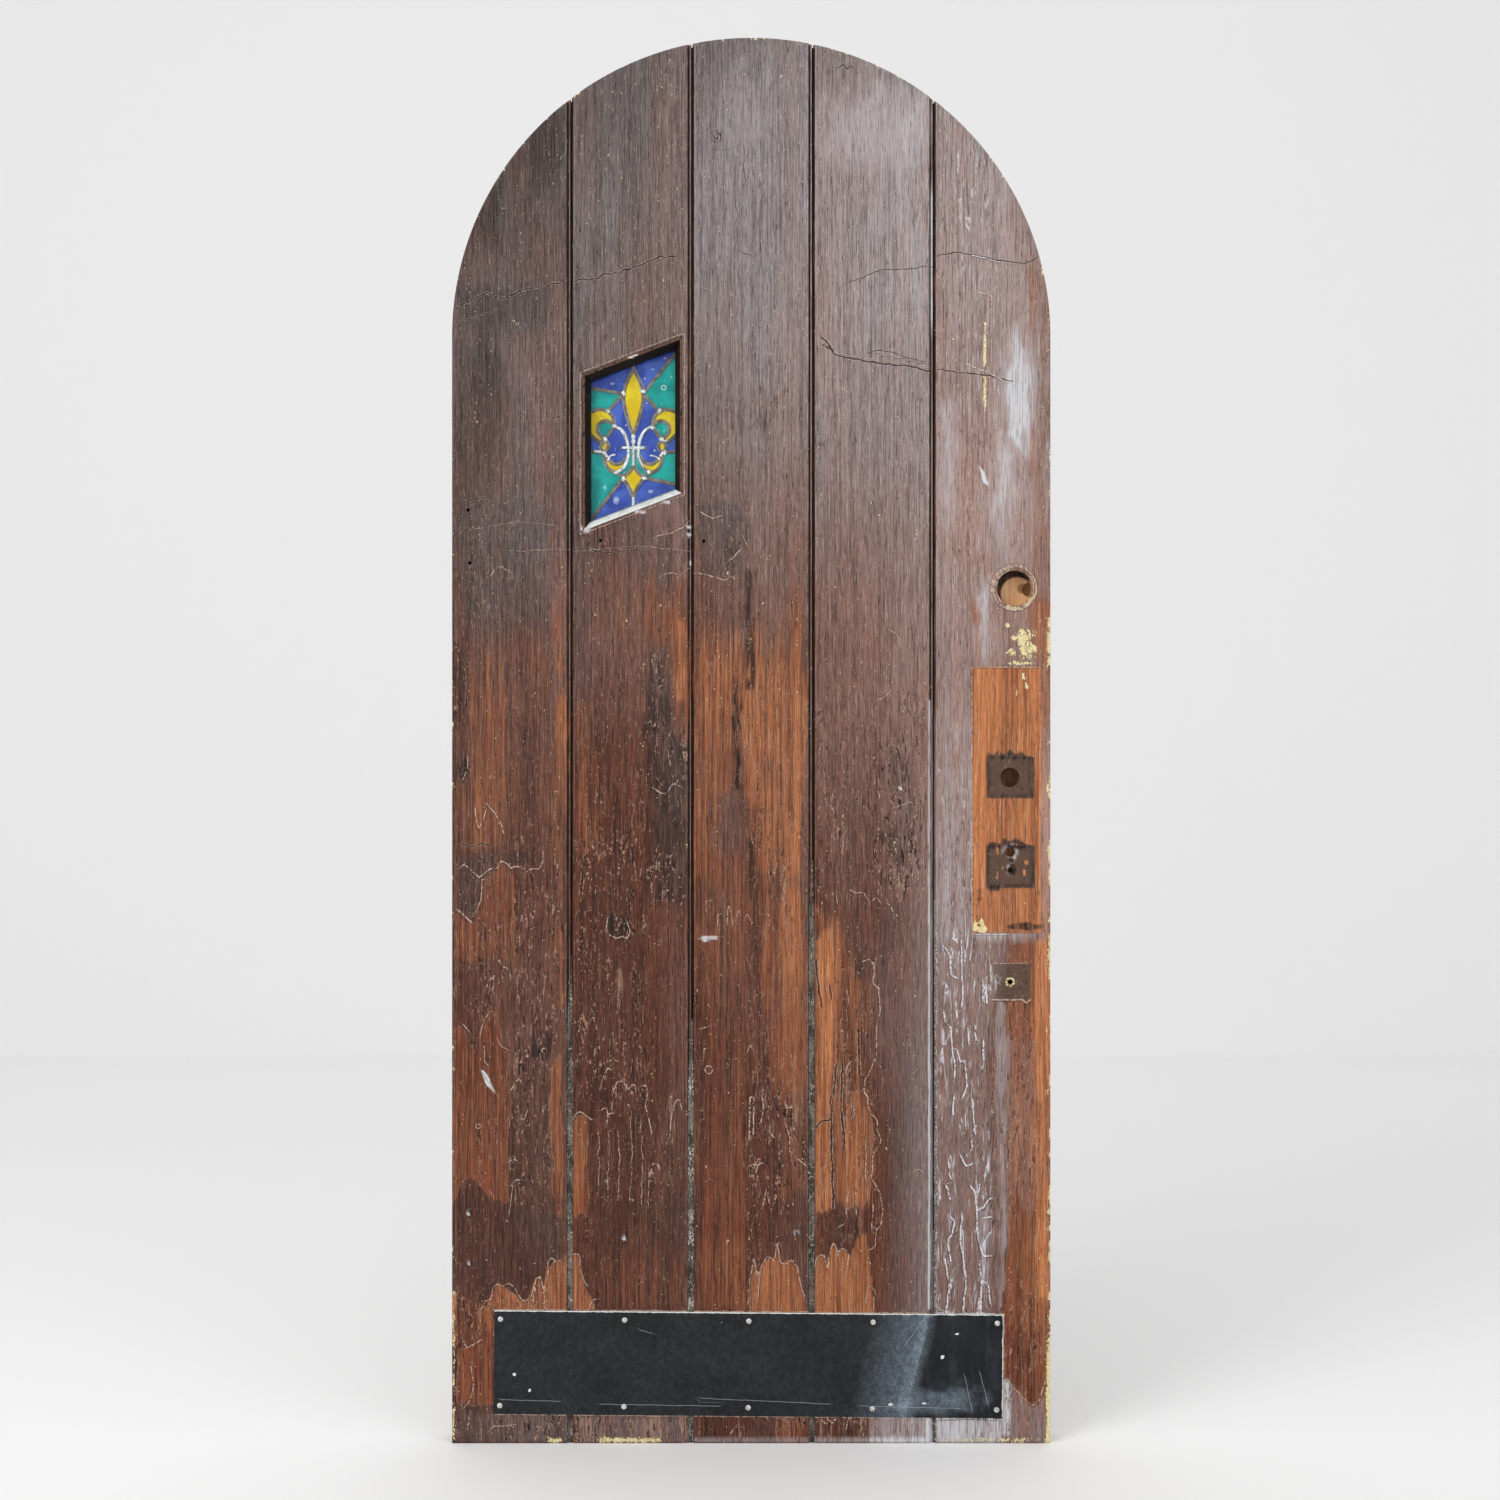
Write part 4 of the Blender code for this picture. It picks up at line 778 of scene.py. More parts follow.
p.peeled(p.patch((185, 486), (191, 504), (205, 506), (208, 490), (209, 386), (205, 348), (185, 348), soft=4,
         ragged=3), 0.72, 0.14)
for x, high, low in ((238, 501, 386), (254, 478, 371), (273, 509, 371), (289, 493, 363), (223, 478, 379),
        (299, 417, 360)):
    p.line("seam", (x, high), (x + 2, (high + low) / 2), (x - 1, low), wide=0.6, wander=4)
p.add(p.box(214, 365, 354, 279, 10), peel=-0.6, craze=-0.8, soot=0.25, warm=-0.2)
p.worn(p.box(214, 310, 354, 200, 18), 0.3, -0.1)
p.peeled(p.patch((185, 286), (194, 286), (199, 255), (206, 234), (214, 221), (220, 200), (211, 173), (185, 173),
         soft=3, ragged=1), 0.85, 0.3)
p.add(p.spot(263, 313, 5.2, 5.2, 0, 0.3), soot=2.2)
p.add(p.spot(263, 313, 2.8, 2.8, 0, 0.5), haze=1.7, soot=-3)
p.relief += 0.9 * p.spot(263, 313, 4, 4, 0, 0.6)
p.add(p.box(188, 44, 363, -5, 8, 0.8, 20), haze=0.22, peel=0.3, craze=0.6)
p.add(p.box(330, 41, 348, -5, 3), soot=0.8)
p.add(p.box(224, 8, 321, 0, 1.5), cream=0.9)
# Cracks, each with its half width, how far it wanders, and its course.
for wide, wander, *course in (
    (0.9, 5, (186, 1775), (226, 1781), (234, 1784), (261, 1790), (287, 1798), (312, 1810), (341, 1813)),
    (0.5, 3, (257, 2066), (260, 2005)), (0.7, 3, (192, 1367), (241, 1359), (302, 1367)),
):
    p.line("crack", *course, wide=wide, wander=wander)
# Seams of lifted varnish and its curls, in the same way.
for wide, wander, *course in (
    (0.8, 3, (310, 1384), (336, 1390), (351, 1397), (363, 1410)), (0.4, 3, (186, 1362), (287, 1370), (363, 1362)),
    (0.6, 3, (318, 1323), (336, 1330), (348, 1326), (363, 1336)), (1.2, 0.8, (308, 1000), (318, 993), (325, 991)),
    (1.0, 1.8, (331, 997), (339, 1008), (351, 1002)), (0.9, 1.8, (299, 875), (308, 881), (319, 881)),
    (1.0, 1, (238, 802), (235, 783), (243, 774), (252, 771), (260, 774), (267, 770), (272, 782), (266, 799)),
    (1.2, 0.5, (235, 567), (238, 573), (243, 570)), (1.2, 0.5, (228, 509), (235, 513), (238, 502), (244, 504)),
    (1.0, 1.8, (185, 492), (189, 502), (195, 507), (206, 499), (214, 493)),
    (0.9, 1.8, (244, 509), (246, 539), (252, 551), (260, 553), (266, 544)),
    (0.9, 1.8, (269, 539), (275, 548), (279, 547), (281, 536)),
    (1.0, 1, (287, 544), (296, 547), (299, 536), (295, 516), (301, 493), (305, 472)),
    (0.9, 1.8, (333, 470), (334, 496), (341, 522), (347, 525), (350, 509)),
    (1.0, 1.8, (304, 409), (307, 428), (315, 425), (319, 414)),
    (0.9, 1.8, (185, 290), (194, 287), (197, 261), (202, 246), (208, 240)),
    (0.9, 1.8, (208, 203), (214, 218), (220, 220)),
):
    p.line("seam", *course, wide=wide, wander=wander)
p.finish("plank_2_wood", "plank_2")


# ---------------------------------------------------------------- third plank
# The middle plank, plain from the crown of the arch to the foot.
p = new_plank(2, 33, [arch_cutter(), strap_hole(384.7, 1377.2), *kick_screw_holes([2])])
# Paler high up and to the right: faded grey varnish, with painted sheen on it.
p.add(p.along((2146, 0.44), (1950, 0.66), (1700, 0.68), (1500, 0.48), (1350, 0.34), (1100, 0.2), (900, 0.12),
      (0, 0.06)) + p.across((365, -0.1), (549, 0.1)), pale=1)
# Rain bloom with painted sheen by the crown.
p.add(p.spot(458, 2036, 34, 60, 0.6, 1.4), haze=0.3)
p.add(p.along((1532, 0), (1379, 1), (1226, 1), (1104, 0)), warm=0.35)
for top, foot in (((382, 2082), (383, 2048)), ((412, 2109), (414, 2033)), ((425, 1959), (426, 1932)),
        ((403, 2008), (405, 1990)), ((446, 1975), (447, 1914)), ((434, 1898), (435, 1852)),
        ((470, 1852), (472, 1804)), ((457, 2059), (458, 2013)), ((397, 1914), (399, 1875))):
    p.line("crack", top, foot, wide=0.45, wander=4)
p.add(p.box(463, 1616, 539, 1547, 8, 1.0, 14), craze=0.9)
p.add(p.patch((370, 1433), (432, 1440), (458, 1394), (447, 1341), (417, 1318), (379, 1330), soft=6, ragged=6, tall=8),
      craze=0.55, soot=0.35, warm=-0.4)
for start, end in (((379, 1422), (397, 1411)), ((397, 1411), (412, 1416)), ((443, 1387), (452, 1367)),
        ((373, 1329), (394, 1324)), ((394, 1324), (415, 1318)), ((415, 1318), (431, 1324)),
        ((425, 1349), (440, 1364))):
    p.line("seam", start, end, wide=1.0, wander=2)
p.worn(p.patch((370, 1287), (402, 1303), (432, 1242), (443, 1135), (437, 997), (409, 982), (397, 860), (370, 875),
       soft=50, ragged=7) * p.along((1303, 0), (1150, 1)), 0.84, 0.16)
p.worn(p.box(379, 1242, 437, 1089, 40), 0.22, 0.16)
p.worn(p.box(452, 1440, 541, 875, 14, 0.9, 60) * p.along((1455, 0), (1226, 1)), 0.42, 0.1)
p.worn(p.patch((443, 1226), (478, 1211), (519, 1181), (516, 1043), (483, 1028), (455, 982), (443, 1043), soft=60,
       ragged=8), 0.62, 0.26)
p.worn(p.box(461, 1013, 541, 539, 20, 0.9, 80), 0.42, 0.1)
p.worn(p.box(516, 1349, 541, 875, 14, 0.9, 60) * p.along((1349, 0), (1135, 1)), 0.65, 0.26)
p.add(p.box(429, 1168, 440, 997, 4, 0.9, 14), soot=1.0, craze=0.7)
p.add(p.box(449, 1333, 464, 1150, 4, 0.9, 14), soot=0.9, craze=0.7)
p.add(p.box(452, 921, 461, 829, 3, 0.9, 14), soot=0.9, craze=0.7)
p.add(p.patch((409, 1058), (447, 1066), (447, 997), (406, 1005), soft=8, ragged=4), soot=0.3)
p.worn(p.box(370, 906, 447, 200, 14, 0.8, 80), 0.44, -0.08)
p.add(p.box(370, 906, 447, 200, 14, 0.8, 80), craze=-0.9, peel=-0.6)
p.worn(p.box(374, 783, 432, 585, 22, 0.8, 80), 0.12, 0.08)
p.add(p.box(447, 921, 519, 554, 10), craze=0.5)
p.add(p.box(447, 554, 516, 348, 8), craze=1.0, soot=0.1)
p.worn(p.box(501, 845, 541, 371, 14, 0.9, 60), 0.5, 0.14)
p.add(p.patch((377, 770), (382, 772), (406, 774), (405, 771), (385, 767), soft=1.2, ragged=0.2), haze=2.4)
p.ring("seam", 392, 570, 6, 0.9)
p.add(p.box(486, 363, 541, 302, 8), soot=0.28, peel=-0.6)
p.worn(p.box(374, 310, 447, 200, 16), 0.3, 0.12)
p.add(p.spot(527, 321, 4.0, 4.0, 0, 0.5), haze=1.4, soot=-1)
p.add(p.spot(527, 321, 2.4, 2.4, 0, 0.5), haze=-2, soot=3)
p.peeled(p.patch((452, 173), (454, 252), (461, 283), (467, 257), (473, 270), (483, 284), (492, 281), (498, 302),
         (502, 276), (516, 278), (528, 269), (533, 241), (541, 218), (541, 173), soft=3, ragged=1), 0.9, 0.26)
p.add(p.box(493, 41, 550, 2, 6, 0.9, 20), peel=0.5, craze=0.6)
p.add(p.box(370, 8, 550, 0, 2), haze=0.5)
p.line("crack", (396, 1999), (403, 1991), (411, 2002), (409, 1987), wide=0.7, wander=1)
p.line("crack", (437, 1822), (458, 1813), wide=0.5, wander=3)
# Seams of lifted varnish and its curls, in the same way.
for wide, wander, *course in (
    (0.8, 1, (388, 811), (388, 829), (392, 828)), (0.8, 1, (406, 790), (406, 806), (411, 808)),
    (0.8, 1, (420, 790), (422, 823), (426, 811), (429, 790)), (0.8, 1, (434, 797), (437, 816), (441, 806)),
    (0.8, 1, (446, 799), (451, 808), (457, 796)), (0.8, 1, (385, 588), (385, 603), (389, 602)),
    (0.8, 1, (425, 586), (434, 586)), (0.8, 1, (451, 597), (455, 608), (460, 600)),
    (1.2, 1, (454, 463), (455, 528), (461, 528), (460, 470)), (1.2, 1, (472, 489), (476, 509), (473, 531)),
    (1.2, 1, (484, 476), (492, 466)), (1.2, 1, (509, 489), (515, 470), (516, 443)), (1.2, 1, (455, 423), (463, 426)),
    (1.2, 1, (464, 412), (467, 425), (473, 428)), (1.2, 1, (510, 512), (518, 513)), (1.2, 1, (475, 363), (480, 386)),
    (1.2, 1, (528, 434), (541, 423)), (1.0, 0.3, (377, 770), (391, 772), (406, 773)),
    (1.4, 0.3, (382, 634), (389, 635)),
    (1.0, 1.8, (452, 211), (455, 252), (461, 283), (466, 257), (470, 264), (480, 284), (486, 284), (492, 276),
     (496, 304), (502, 276), (510, 273), (518, 279), (527, 270), (531, 247), (538, 223)),
    (0.8, 0.8, (467, 218), (469, 252), (473, 267)), (1.4, 0.3, (426, 15), (432, 24)),
):
    p.line("seam", *course, wide=wide, wander=wander)
p.finish("plank_3_wood", "plank_3")


# ---------------------------------------------------------------- fourth plank
# Like the third, with rain bloom and painted sheen high up and along the joint on its right, whose bead has a painted
# highlight.
p = new_plank(3, 44, [arch_cutter(), *kick_screw_holes([3])])
# Paler high up and to the right: faded grey varnish, with painted sheen on it.
p.add(p.along((2146, 0.66), (1950, 0.9), (1700, 0.92), (1500, 0.76), (1300, 0.54), (1100, 0.36), (900, 0.16),
      (500, 0.08), (0, 0.12)) + p.across((549, -0.12), (734, 0.12)), pale=1)
# Rain bloom with painted sheen high up.
p.add(p.patch((571, 2051), (654, 2066), (722, 2039), (725, 1987), (687, 1947), (626, 1947), (577, 1972), soft=50,
      ragged=12), haze=0.6)
p.add(p.patch((669, 1967), (692, 1952), (724, 1746), (713, 1700), (696, 1807), soft=16, ragged=6), haze=0.34)
p.add(p.spot(706, 2017, 18, 60, 0.5, 1.4), haze=0.25)
# A painted highlight on the bead of the joint on the right, high up.
bead = (abs(p.x - JOINTS[4] + 0.7) < 1.4) * (p.depth > 2.4) * (p.depth < 4.8)
p.add(bead * p.along((1677, 0), (1723, 1), (1898, 1), (1929, 0)), haze=1.5)
p.add(p.along((1532, 0), (1379, 1), (1226, 1), (1104, 0)), warm=0.15)
p.add(p.box(556, 1165, 730, 829, 14), craze=0.45, warm=0.15, pale=0.06)
p.add(p.box(641, 1066, 712, 783, 10, 0.9, 26), craze=1.0, soot=0.18)
p.add(p.box(654, 1074, 730, 845, 22), pale=0.1)
for blot in ((686, 887, 8, 13), (663, 924, 9, 16), (681, 1025, 13, 30), (695, 997, 9, 16)):
    p.add(p.spot(*blot, 0.6, 0.8), soot=0.6)
p.add(p.spot(684, 999, 2.5, 2.5, 0, 0.5), haze=2)
p.worn(p.patch((551, 822), (585, 799), (608, 738), (632, 707), (635, 554), (641, 493), (644, 363), (551, 356),
       soft=26, ragged=6), 0.8, 0.14)
p.peeled(p.patch((553, 768), (580, 791), (586, 692), (577, 524), (579, 363), (565, 351), (553, 359), soft=4,
         ragged=2), 0.8, 0.36)
p.peeled(p.patch((602, 524), (632, 539), (640, 493), (641, 371), (608, 356), (602, 432), soft=6, ragged=4), 0.6, 0.1)
p.add(p.patch((551, 353), (565, 350), (583, 359), (611, 353), (617, 295), (605, 295), (583, 307), (559, 287),
      (551, 276), soft=4, ragged=2), peel=-0.8, soot=0.06)
p.peeled(p.patch((551, 173), (551, 261), (559, 286), (567, 286), (574, 267), (577, 292), (583, 305), (589, 289),
         (597, 298), (605, 290), (609, 276), (615, 310), (632, 318), (641, 240), (648, 173), soft=3, ragged=1), 0.9,
         0.28)
p.add(p.across((649, 0), (690, 0.25), (722, 0.7), (734, 0.7)) * p.along((0, 1), (250, 1), (700, 0.8), (1150, 0)),
      haze=0.45)
p.add(p.box(654, 829, 730, 203, 12), craze=-0.9, peel=-0.7, warm=-0.2)
p.add(p.box(638, 43, 736, -5, 8), haze=0.55, dust=0.5)
p.add(p.box(727, 1135, 731, 203, 1.4, 0.3, 20), haze=1.1)
p.add(p.box(724, 43, 732, 0, 2), haze=1.2)
p.add(p.box(550, 8, 736, 0, 2), haze=0.7)
# Cracks, each with its half width, how far it wanders, and its course.
for wide, wander, *course in (
    (0.7, 1, (589, 2100), (597, 2106), (603, 2098), (611, 2104), (614, 2097)),
    (1.1, 3, (562, 1689), (577, 1677), (582, 1663), (638, 1651), (692, 1645), (730, 1637)),
    (0.7, 3, (565, 1677), (582, 1668)), (0.6, 3, (635, 1666), (654, 1669), (722, 1651)),
    (0.6, 3, (608, 1773), (654, 1791), (692, 1793), (738, 1798)), (1.2, 3, (556, 738), (560, 699), (565, 664)),
    (1.2, 3, (579, 531), (580, 447), (582, 356)), (1.2, 3, (596, 585), (594, 524), (599, 447)),
    (1.2, 3, (586, 577), (583, 531)), (1.2, 3, (612, 516), (611, 499)), (1.2, 3, (620, 631), (623, 562)),
    (1.2, 3, (576, 699), (579, 677)), (1.2, 3, (556, 481), (565, 492), (580, 493)),
):
    p.line("crack", *course, wide=wide, wander=wander)
# Seams of lifted varnish and its curls, in the same way.
for wide, wander, *course in (
    (0.6, 3, (586, 1666), (638, 1655), (692, 1649), (730, 1642)), (0.6, 0.4, (664, 1245), (677, 1236), (689, 1223)),
    (0.8, 1, (608, 845), (617, 840), (628, 841), (635, 829)), (0.8, 1, (643, 829), (648, 834), (655, 825)),
    (0.8, 1, (677, 803), (670, 820), (663, 826)), (0.8, 1, (669, 982), (678, 967), (683, 974)),
    (0.8, 1, (689, 974), (698, 979), (704, 977)), (0.8, 1, (654, 982), (651, 997)),
    (0.8, 1, (670, 1150), (660, 1139), (651, 1136)), (0.8, 1, (589, 822), (586, 845)),
    (0.9, 4, (628, 735), (637, 738), (643, 733), (644, 701), (652, 695), (654, 661), (649, 631), (648, 593),
     (640, 570), (631, 554), (629, 536), (635, 524), (638, 506), (648, 493), (648, 478), (655, 466), (654, 455),
     (644, 447), (641, 402), (648, 392), (655, 383), (658, 356), (654, 331), (648, 328), (646, 302), (638, 295)),
    (0.9, 2, (602, 567), (605, 580), (609, 582)), (0.9, 2, (611, 496), (615, 501), (612, 516)),
    (0.9, 2, (632, 463), (632, 402)), (0.9, 2, (617, 402), (617, 348)), (0.9, 2, (643, 367), (641, 325)),
    (0.9, 2, (602, 348), (605, 386)), (0.9, 2, (591, 331), (597, 334)), (0.9, 2, (603, 692), (605, 672)),
    (1.0, 1.8, (551, 257), (557, 283), (564, 289), (570, 283), (574, 264), (576, 289), (582, 305), (586, 301),
     (589, 286), (594, 298), (602, 295), (606, 286), (602, 261)),
    (0.9, 1.8, (632, 211), (635, 238), (641, 240), (646, 231), (644, 206)),
    (0.9, 1.8, (706, 414), (712, 420), (721, 411)), (1.0, 1, (565, 35), (571, 29)),
    (1.0, 1, (576, 34), (582, 29), (585, 37)), (1.0, 1, (602, 20), (605, 35)), (1.0, 1, (623, 31), (629, 11)),
    (1.0, 1, (535, 20), (530, 35)),
):
    p.line("seam", *course, wide=wide, wander=wander)
p.finish("plank_4_wood", "plank_4")


# ---------------------------------------------------------------- fifth plank, on the lock side
# The lock stile, bored for a deadbolt, a knob, two key cylinders and a night latch that are all gone.
# The plates that covered it kept the wood under them fresh, and their outlines are still there.
DEADBOLT, KNOB = (859.5, 1305.5), (852.5, 1016.3)
KEYWAY, KEYHOLE, NIGHT_LATCH = (852.5, 902.6), (852.5, 875.1), (852.5, 704)
lock_bores = [cutter_round(radius, (x, -CUT_PAST, h), (x, depth, h), sides, 1.5) for (x, h), radius, depth, sides in (
    (DEADBOLT, 27, 28, 96), (KNOB, 15, 30, 64), (KEYWAY, 7, 26, 40), (KEYHOLE, 4, 26, 28), (NIGHT_LATCH, 4, 26, 28))]
lock_bores.append(cutter_round(12.7, (884, 22.25, 1305.5), (924, 22.25, 1305.5), 48, 1.5, nose=0.9))
lock_rows = np.concatenate([np.arange(0, 660, 3.8), np.arange(660, 1380, 2.1),
        np.arange(1380, LEAF_HEIGHT + 3.8, 3.8)])
p = new_plank(4, 55, [arch_cutter(), *lock_bores, *kick_screw_holes([4])], 2.1, lock_rows)
# Paler high up and to the right: faded grey varnish, with painted sheen on it.
p.add(p.along((2146, 0.9), (1950, 1.0), (1700, 1.0), (1400, 0.95), (1250, 0.8), (900, 0.55), (700, 0.4), (400, 0.3),
      (0, 0.3)) * p.across((734, 0.94), (810, 1), (860, 0.95), (914, 0.8)), pale=1)
p.add(p.along((2146, 0.15), (1500, 0.25), (1000, 0.15), (600, 0.3), (0, 0.3)), warm=1)
p.add(p.across((734, 0.7), (752, 1), (794, 1)) * p.along((760, 0.8), (860, 1), (1000, 0.7), (1130, 0.1), (1350, 0))
      * p.along((760, 0), (775, 1)) * (0.3 + 0.9 * p.rough(9, 160, 30)), haze=0.75, dust=1.0)
p.add(p.box(739, 1349, 791, 1066, 18, 0.8, 40), haze=0.15)
p.add(p.box(739, 774, 840, 677, 14, 0.8, 40), haze=0.12, dust=0.5, warm=0.2)
p.add(p.patch((739, 768), (814, 768), (825, 677), (814, 554), (834, 371), (825, 188), (739, 188), soft=14, ragged=5),
      dust=1.0, haze=0.16, warm=0.5, pale=0.1)
p.add(p.box(764, 1975, 819, 1746, 8, 0.8, 20), dust=0.8)
# Haze high up the lock stile: rain bloom with painted sheen on it.
p.add(p.spot(864, 1593, 30, 160, 0.5, 1.2), haze=0.4)
p.add(p.patch((849, 1672), (867, 1700), (884, 1681), (887, 1562), (874, 1513), (849, 1529), (841, 1593), soft=22,
      ragged=10), haze=0.78)
p.add(p.patch((831, 1532), (861, 1544), (852, 1410), (837, 1367), (820, 1440), soft=18, ragged=8), haze=0.4)
p.add(p.box(745, 1593, 771, 1394, 14), haze=0.4)
p.add(p.box(812, 1712, 816, 1645, 1.3, 0.6, 20) + p.box(812, 1628, 816, 1575, 1.1, 0.6, 20), cream=1.1)
p.add(p.patch((805, 1492), (812, 1483), (819, 1462), (811, 1468), soft=1.6, ragged=0.4), haze=2.4)
p.add(p.box(739, 1666, 855, 1608, 8) + p.box(783, 1825, 843, 1794, 6), dust=0.7)
p.add(p.spot(837, 1410, 26, 90, 0.5, 1.2), haze=0.35)
p.add(p.spot(814, 1257, 14, 60, 0.5, 1.0), haze=0.75)
p.add(p.box(800, 1294, 916, 1185, 10, 0.8, 40), warm=0.6, pale=0.04)
p.add(p.spot(761, 1517, 16, 80, 0.5, 1.2), haze=0.3)
p.add(p.patch((832, 673), (843, 673), (851, 615), (843, 524), (848, 402), (841, 203), (832, 203), (838, 402),
      (831, 554), soft=7, ragged=5), haze=0.44)
p.worn(p.box(883, 1822, 916, 1196, 14, 0.8, 60), 0.45, 0.15)
p.worn(p.box(794, 1287, 812, 1190, 8, 0.8, 60), 0.6, 0.2)
p.worn(p.patch((843, 774), (916, 774), (916, 173), (846, 173), (852, 524), soft=8, ragged=4), 0.8, 0.16)
p.worn(p.box(892, 774, 916, 218, 8, 0.8, 70), 0.5, 0.55)
p.add(p.box(837, 615, 889, 310, 12, 0.8, 70), pale=0.1, haze=0.1)
p.worn(p.box(841, 295, 913, 35, 14, 0.8, 70, 60), 0.9, 0.02)
p.peeled(p.patch((855, 402), (883, 341), (910, 417), (907, 96), (895, 60), (883, 60), (867, 78), (849, 99),
         (841, 108), soft=4, ragged=1), 0.75, -0.12)
p.add(p.patch((841, 104), (852, 89), (867, 72), (889, 53), (910, 78), (913, -5), (841, -5), soft=3, ragged=1),
      haze=0.3, warm=0.2, peel=-0.7)
p.add(p.box(841, 96, 852, 11, 4), haze=0.9)
p.add(p.patch((805, 359), (822, 368), (822, 295), (811, 295), (803, 318), soft=3, ragged=1) + p.patch((812, 283),
      (822, 283), (822, 234), (812, 246), soft=3, ragged=1), soot=0.5, haze=0.35)
p.add(p.box(739, 41, 841, -5, 5), haze=0.6, dust=1.0)
# The deadbolt's rose: a ring on the face, a torn lip at its foot, and paint chips under it.
p.ring("seam", *DEADBOLT, 33.5, 1.3)
p.ring("seam", *DEADBOLT, 36.5, 0.7, 60, 190)
p.ring("seam", *DEADBOLT, 29.0, 1.0, 100, 400)
away = np.hypot(p.x - DEADBOLT[0], p.h - DEADBOLT[1])
p.add((away < 33) * (away > 27) * 1.0, haze=-1, pale=-0.4, warm=0.4)
below = np.clip((DEADBOLT[1] - 8 - p.h) / 8, 0, 1)
torn = np.clip(1 - abs(away - 31) / 4.5, 0, 1) * below * np.clip((p.x - 842) / 8, 0.3, 1)
p.relief -= 2.2 * torn * np.clip(p.rough(5, 4, 21) * 2 - 0.6, 0, 1)
p.add(torn * np.clip(p.rough(7, 5, 22) * 2 - 0.2, 0, 1), cream=1.7)
for spot in ((875, 1236, 14, 9), (880, 1210, 12, 16), (871, 1191, 24, 2.8), (907, 1261, 3, 2), (898, 1255, 2.5, 1.6),
        (912, 1222, 2.5, 22), (858, 1229, 4, 3), (848, 1249, 3, 3), (855, 1208, 7, 4), (890, 1214, 3, 5),
        (866, 1223, 3, 4), (874, 1171, 4, 6), (863, 1144, 2, 9), (877, 1156, 3, 7)):
    p.add(p.spot(*spot, 0.6, 0.9), cream=0.78)
# The long plate's place, with the two lock bodies' square marks in it.
p.layers["haze"] *= 1 - p.box(794, 1185, 900, 779, 1.5, 0)
p.layers["dust"] *= 1 - p.box(794, 1185, 916, 779, 1.5, 0)
p.peeled(p.box(794, 1185, 900, 779, 1.5, 0), 1.2, 0.62)
p.worn(p.box(896, 1287, 916, 779, 6, 0.8), 0.8, 0.35)
p.relief -= 0.35 * p.box(794, 1185, 900, 779, 1.5, 0)
for square, middle in ((p.box(817, 1048, 889, 985, 1.5, 0.3, 10), p.box(823, 1043, 880, 991, 2, 0.2)),
        (p.box(816, 912, 890, 848, 1.5, 0.3, 10), p.box(822, 907, 884, 854, 3, 0.4))):
    p.add(square, ghost=1, peel=-1.7)
    p.add(square * (1 - middle), soot=0.75)
    p.add(middle, ghost=-0.06)
    p.relief -= 0.4 * square
for torn_off in (((817, 1045), (820, 1055), (826, 1051), (834, 1058), (841, 1052), (852, 1058), (861, 1051),
        (869, 1055), (878, 1049), (887, 1046)), ((816, 909), (822, 918), (837, 915), (843, 924), (852, 919),
        (861, 924), (874, 916), (889, 909)), ((817, 851), (840, 851), (835, 843), (822, 843))):
    p.add(p.patch(*torn_off, soft=2, ragged=1, tall=8), ghost=0.9, soot=0.7, peel=-0.6)
for pin in ((832, 1038), (871, 1038), (832, 999), (871, 999)):
    p.add(p.spot(*pin, 1.8, 1.8, 0, 0.5), soot=2)
for tear in ((832, 906, 2.0, 7), (841, 878, 1.5, 3), (878, 887, 3.4, 4), (833, 869, 1.8, 5), (874, 871, 2.2, 5),
        (863, 912, 1.6, 3)):
    p.add(p.spot(*tear, 0.25, 0.4), ghost=-1, peel=1.8, fresh=0.9, soot=-1)
away = np.minimum(np.hypot(p.x - KEYWAY[0], (p.h - KEYWAY[1]) * 0.8), np.hypot(p.x - KEYHOLE[0], p.h - KEYHOLE[1])
        + 3)
broken = np.clip(1 - abs(away - 9.5) / 4.5, 0, 1)
p.add(broken * np.clip(p.rough(5, 5, 23) * 3 - 1.2, 0, 1), soot=2.4)
p.add(broken * np.clip(1.4 - p.rough(5, 5, 23) * 3, 0, 1), haze=1.1)
p.relief -= 1.6 * np.clip(1 - abs(away - 8.5) / 4, 0, 1) * p.rough(5, 4, 24)
p.add(p.patch((794, 782), (797, 797), (803, 794), (809, 802), (812, 794), (820, 783), (814, 780), soft=2, ragged=1),
      cream=1.2)
p.add(p.spot(805, 791, 1.6, 1.6, 0, 0.5), cream=-2, soot=2)
p.add(p.spot(874, 790, 18, 5, 0.7, 0.5), soot=1.0, ghost=0.6)
p.add(p.box(828, 732, 881, 677, 1.5, 0.3), ghost=1.0, peel=-0.8, worn=-1)
p.layers["haze"] *= 1 - p.box(846, 732, 881, 678, 3, 0.3)
away = np.hypot(p.x - NIGHT_LATCH[0], p.h - NIGHT_LATCH[1])
p.add(np.clip(1 - abs(away - 5.5) / 3, 0, 1), cream=1.0)
p.relief -= 1.2 * np.clip(1 - abs(away - 5) / 3, 0, 1)
# Chips down the lock edge, and the cream corner at its foot.
chipped = np.clip(1 - p.rim / 9, 0, 1) * p.along((0, 1), (1290, 1), (1330, 0))
p.add(chipped * np.clip(p.rough(5, 12, 25) * 3.0 - 1.6, 0, 1), cream=1.1)
p.add(np.clip(1.6 - np.abs(p.rim) / 5, 0, 1) * p.along((0, 1), (120, 1), (200, 0)), cream=1.2)
p.add(np.clip((14 - p.rim - p.h * 0.8) / 6, 0, 1), cream=1.2)
p.add(p.box(738, 41, 841, 0, 6), haze=0.45, dust=0.9)
p.add(p.box(745, 9, 898, 0, 3), cream=0.5)
p.add(p.box(736, 829, 742, 0, 1.8), grit=0.55, haze=0.3)
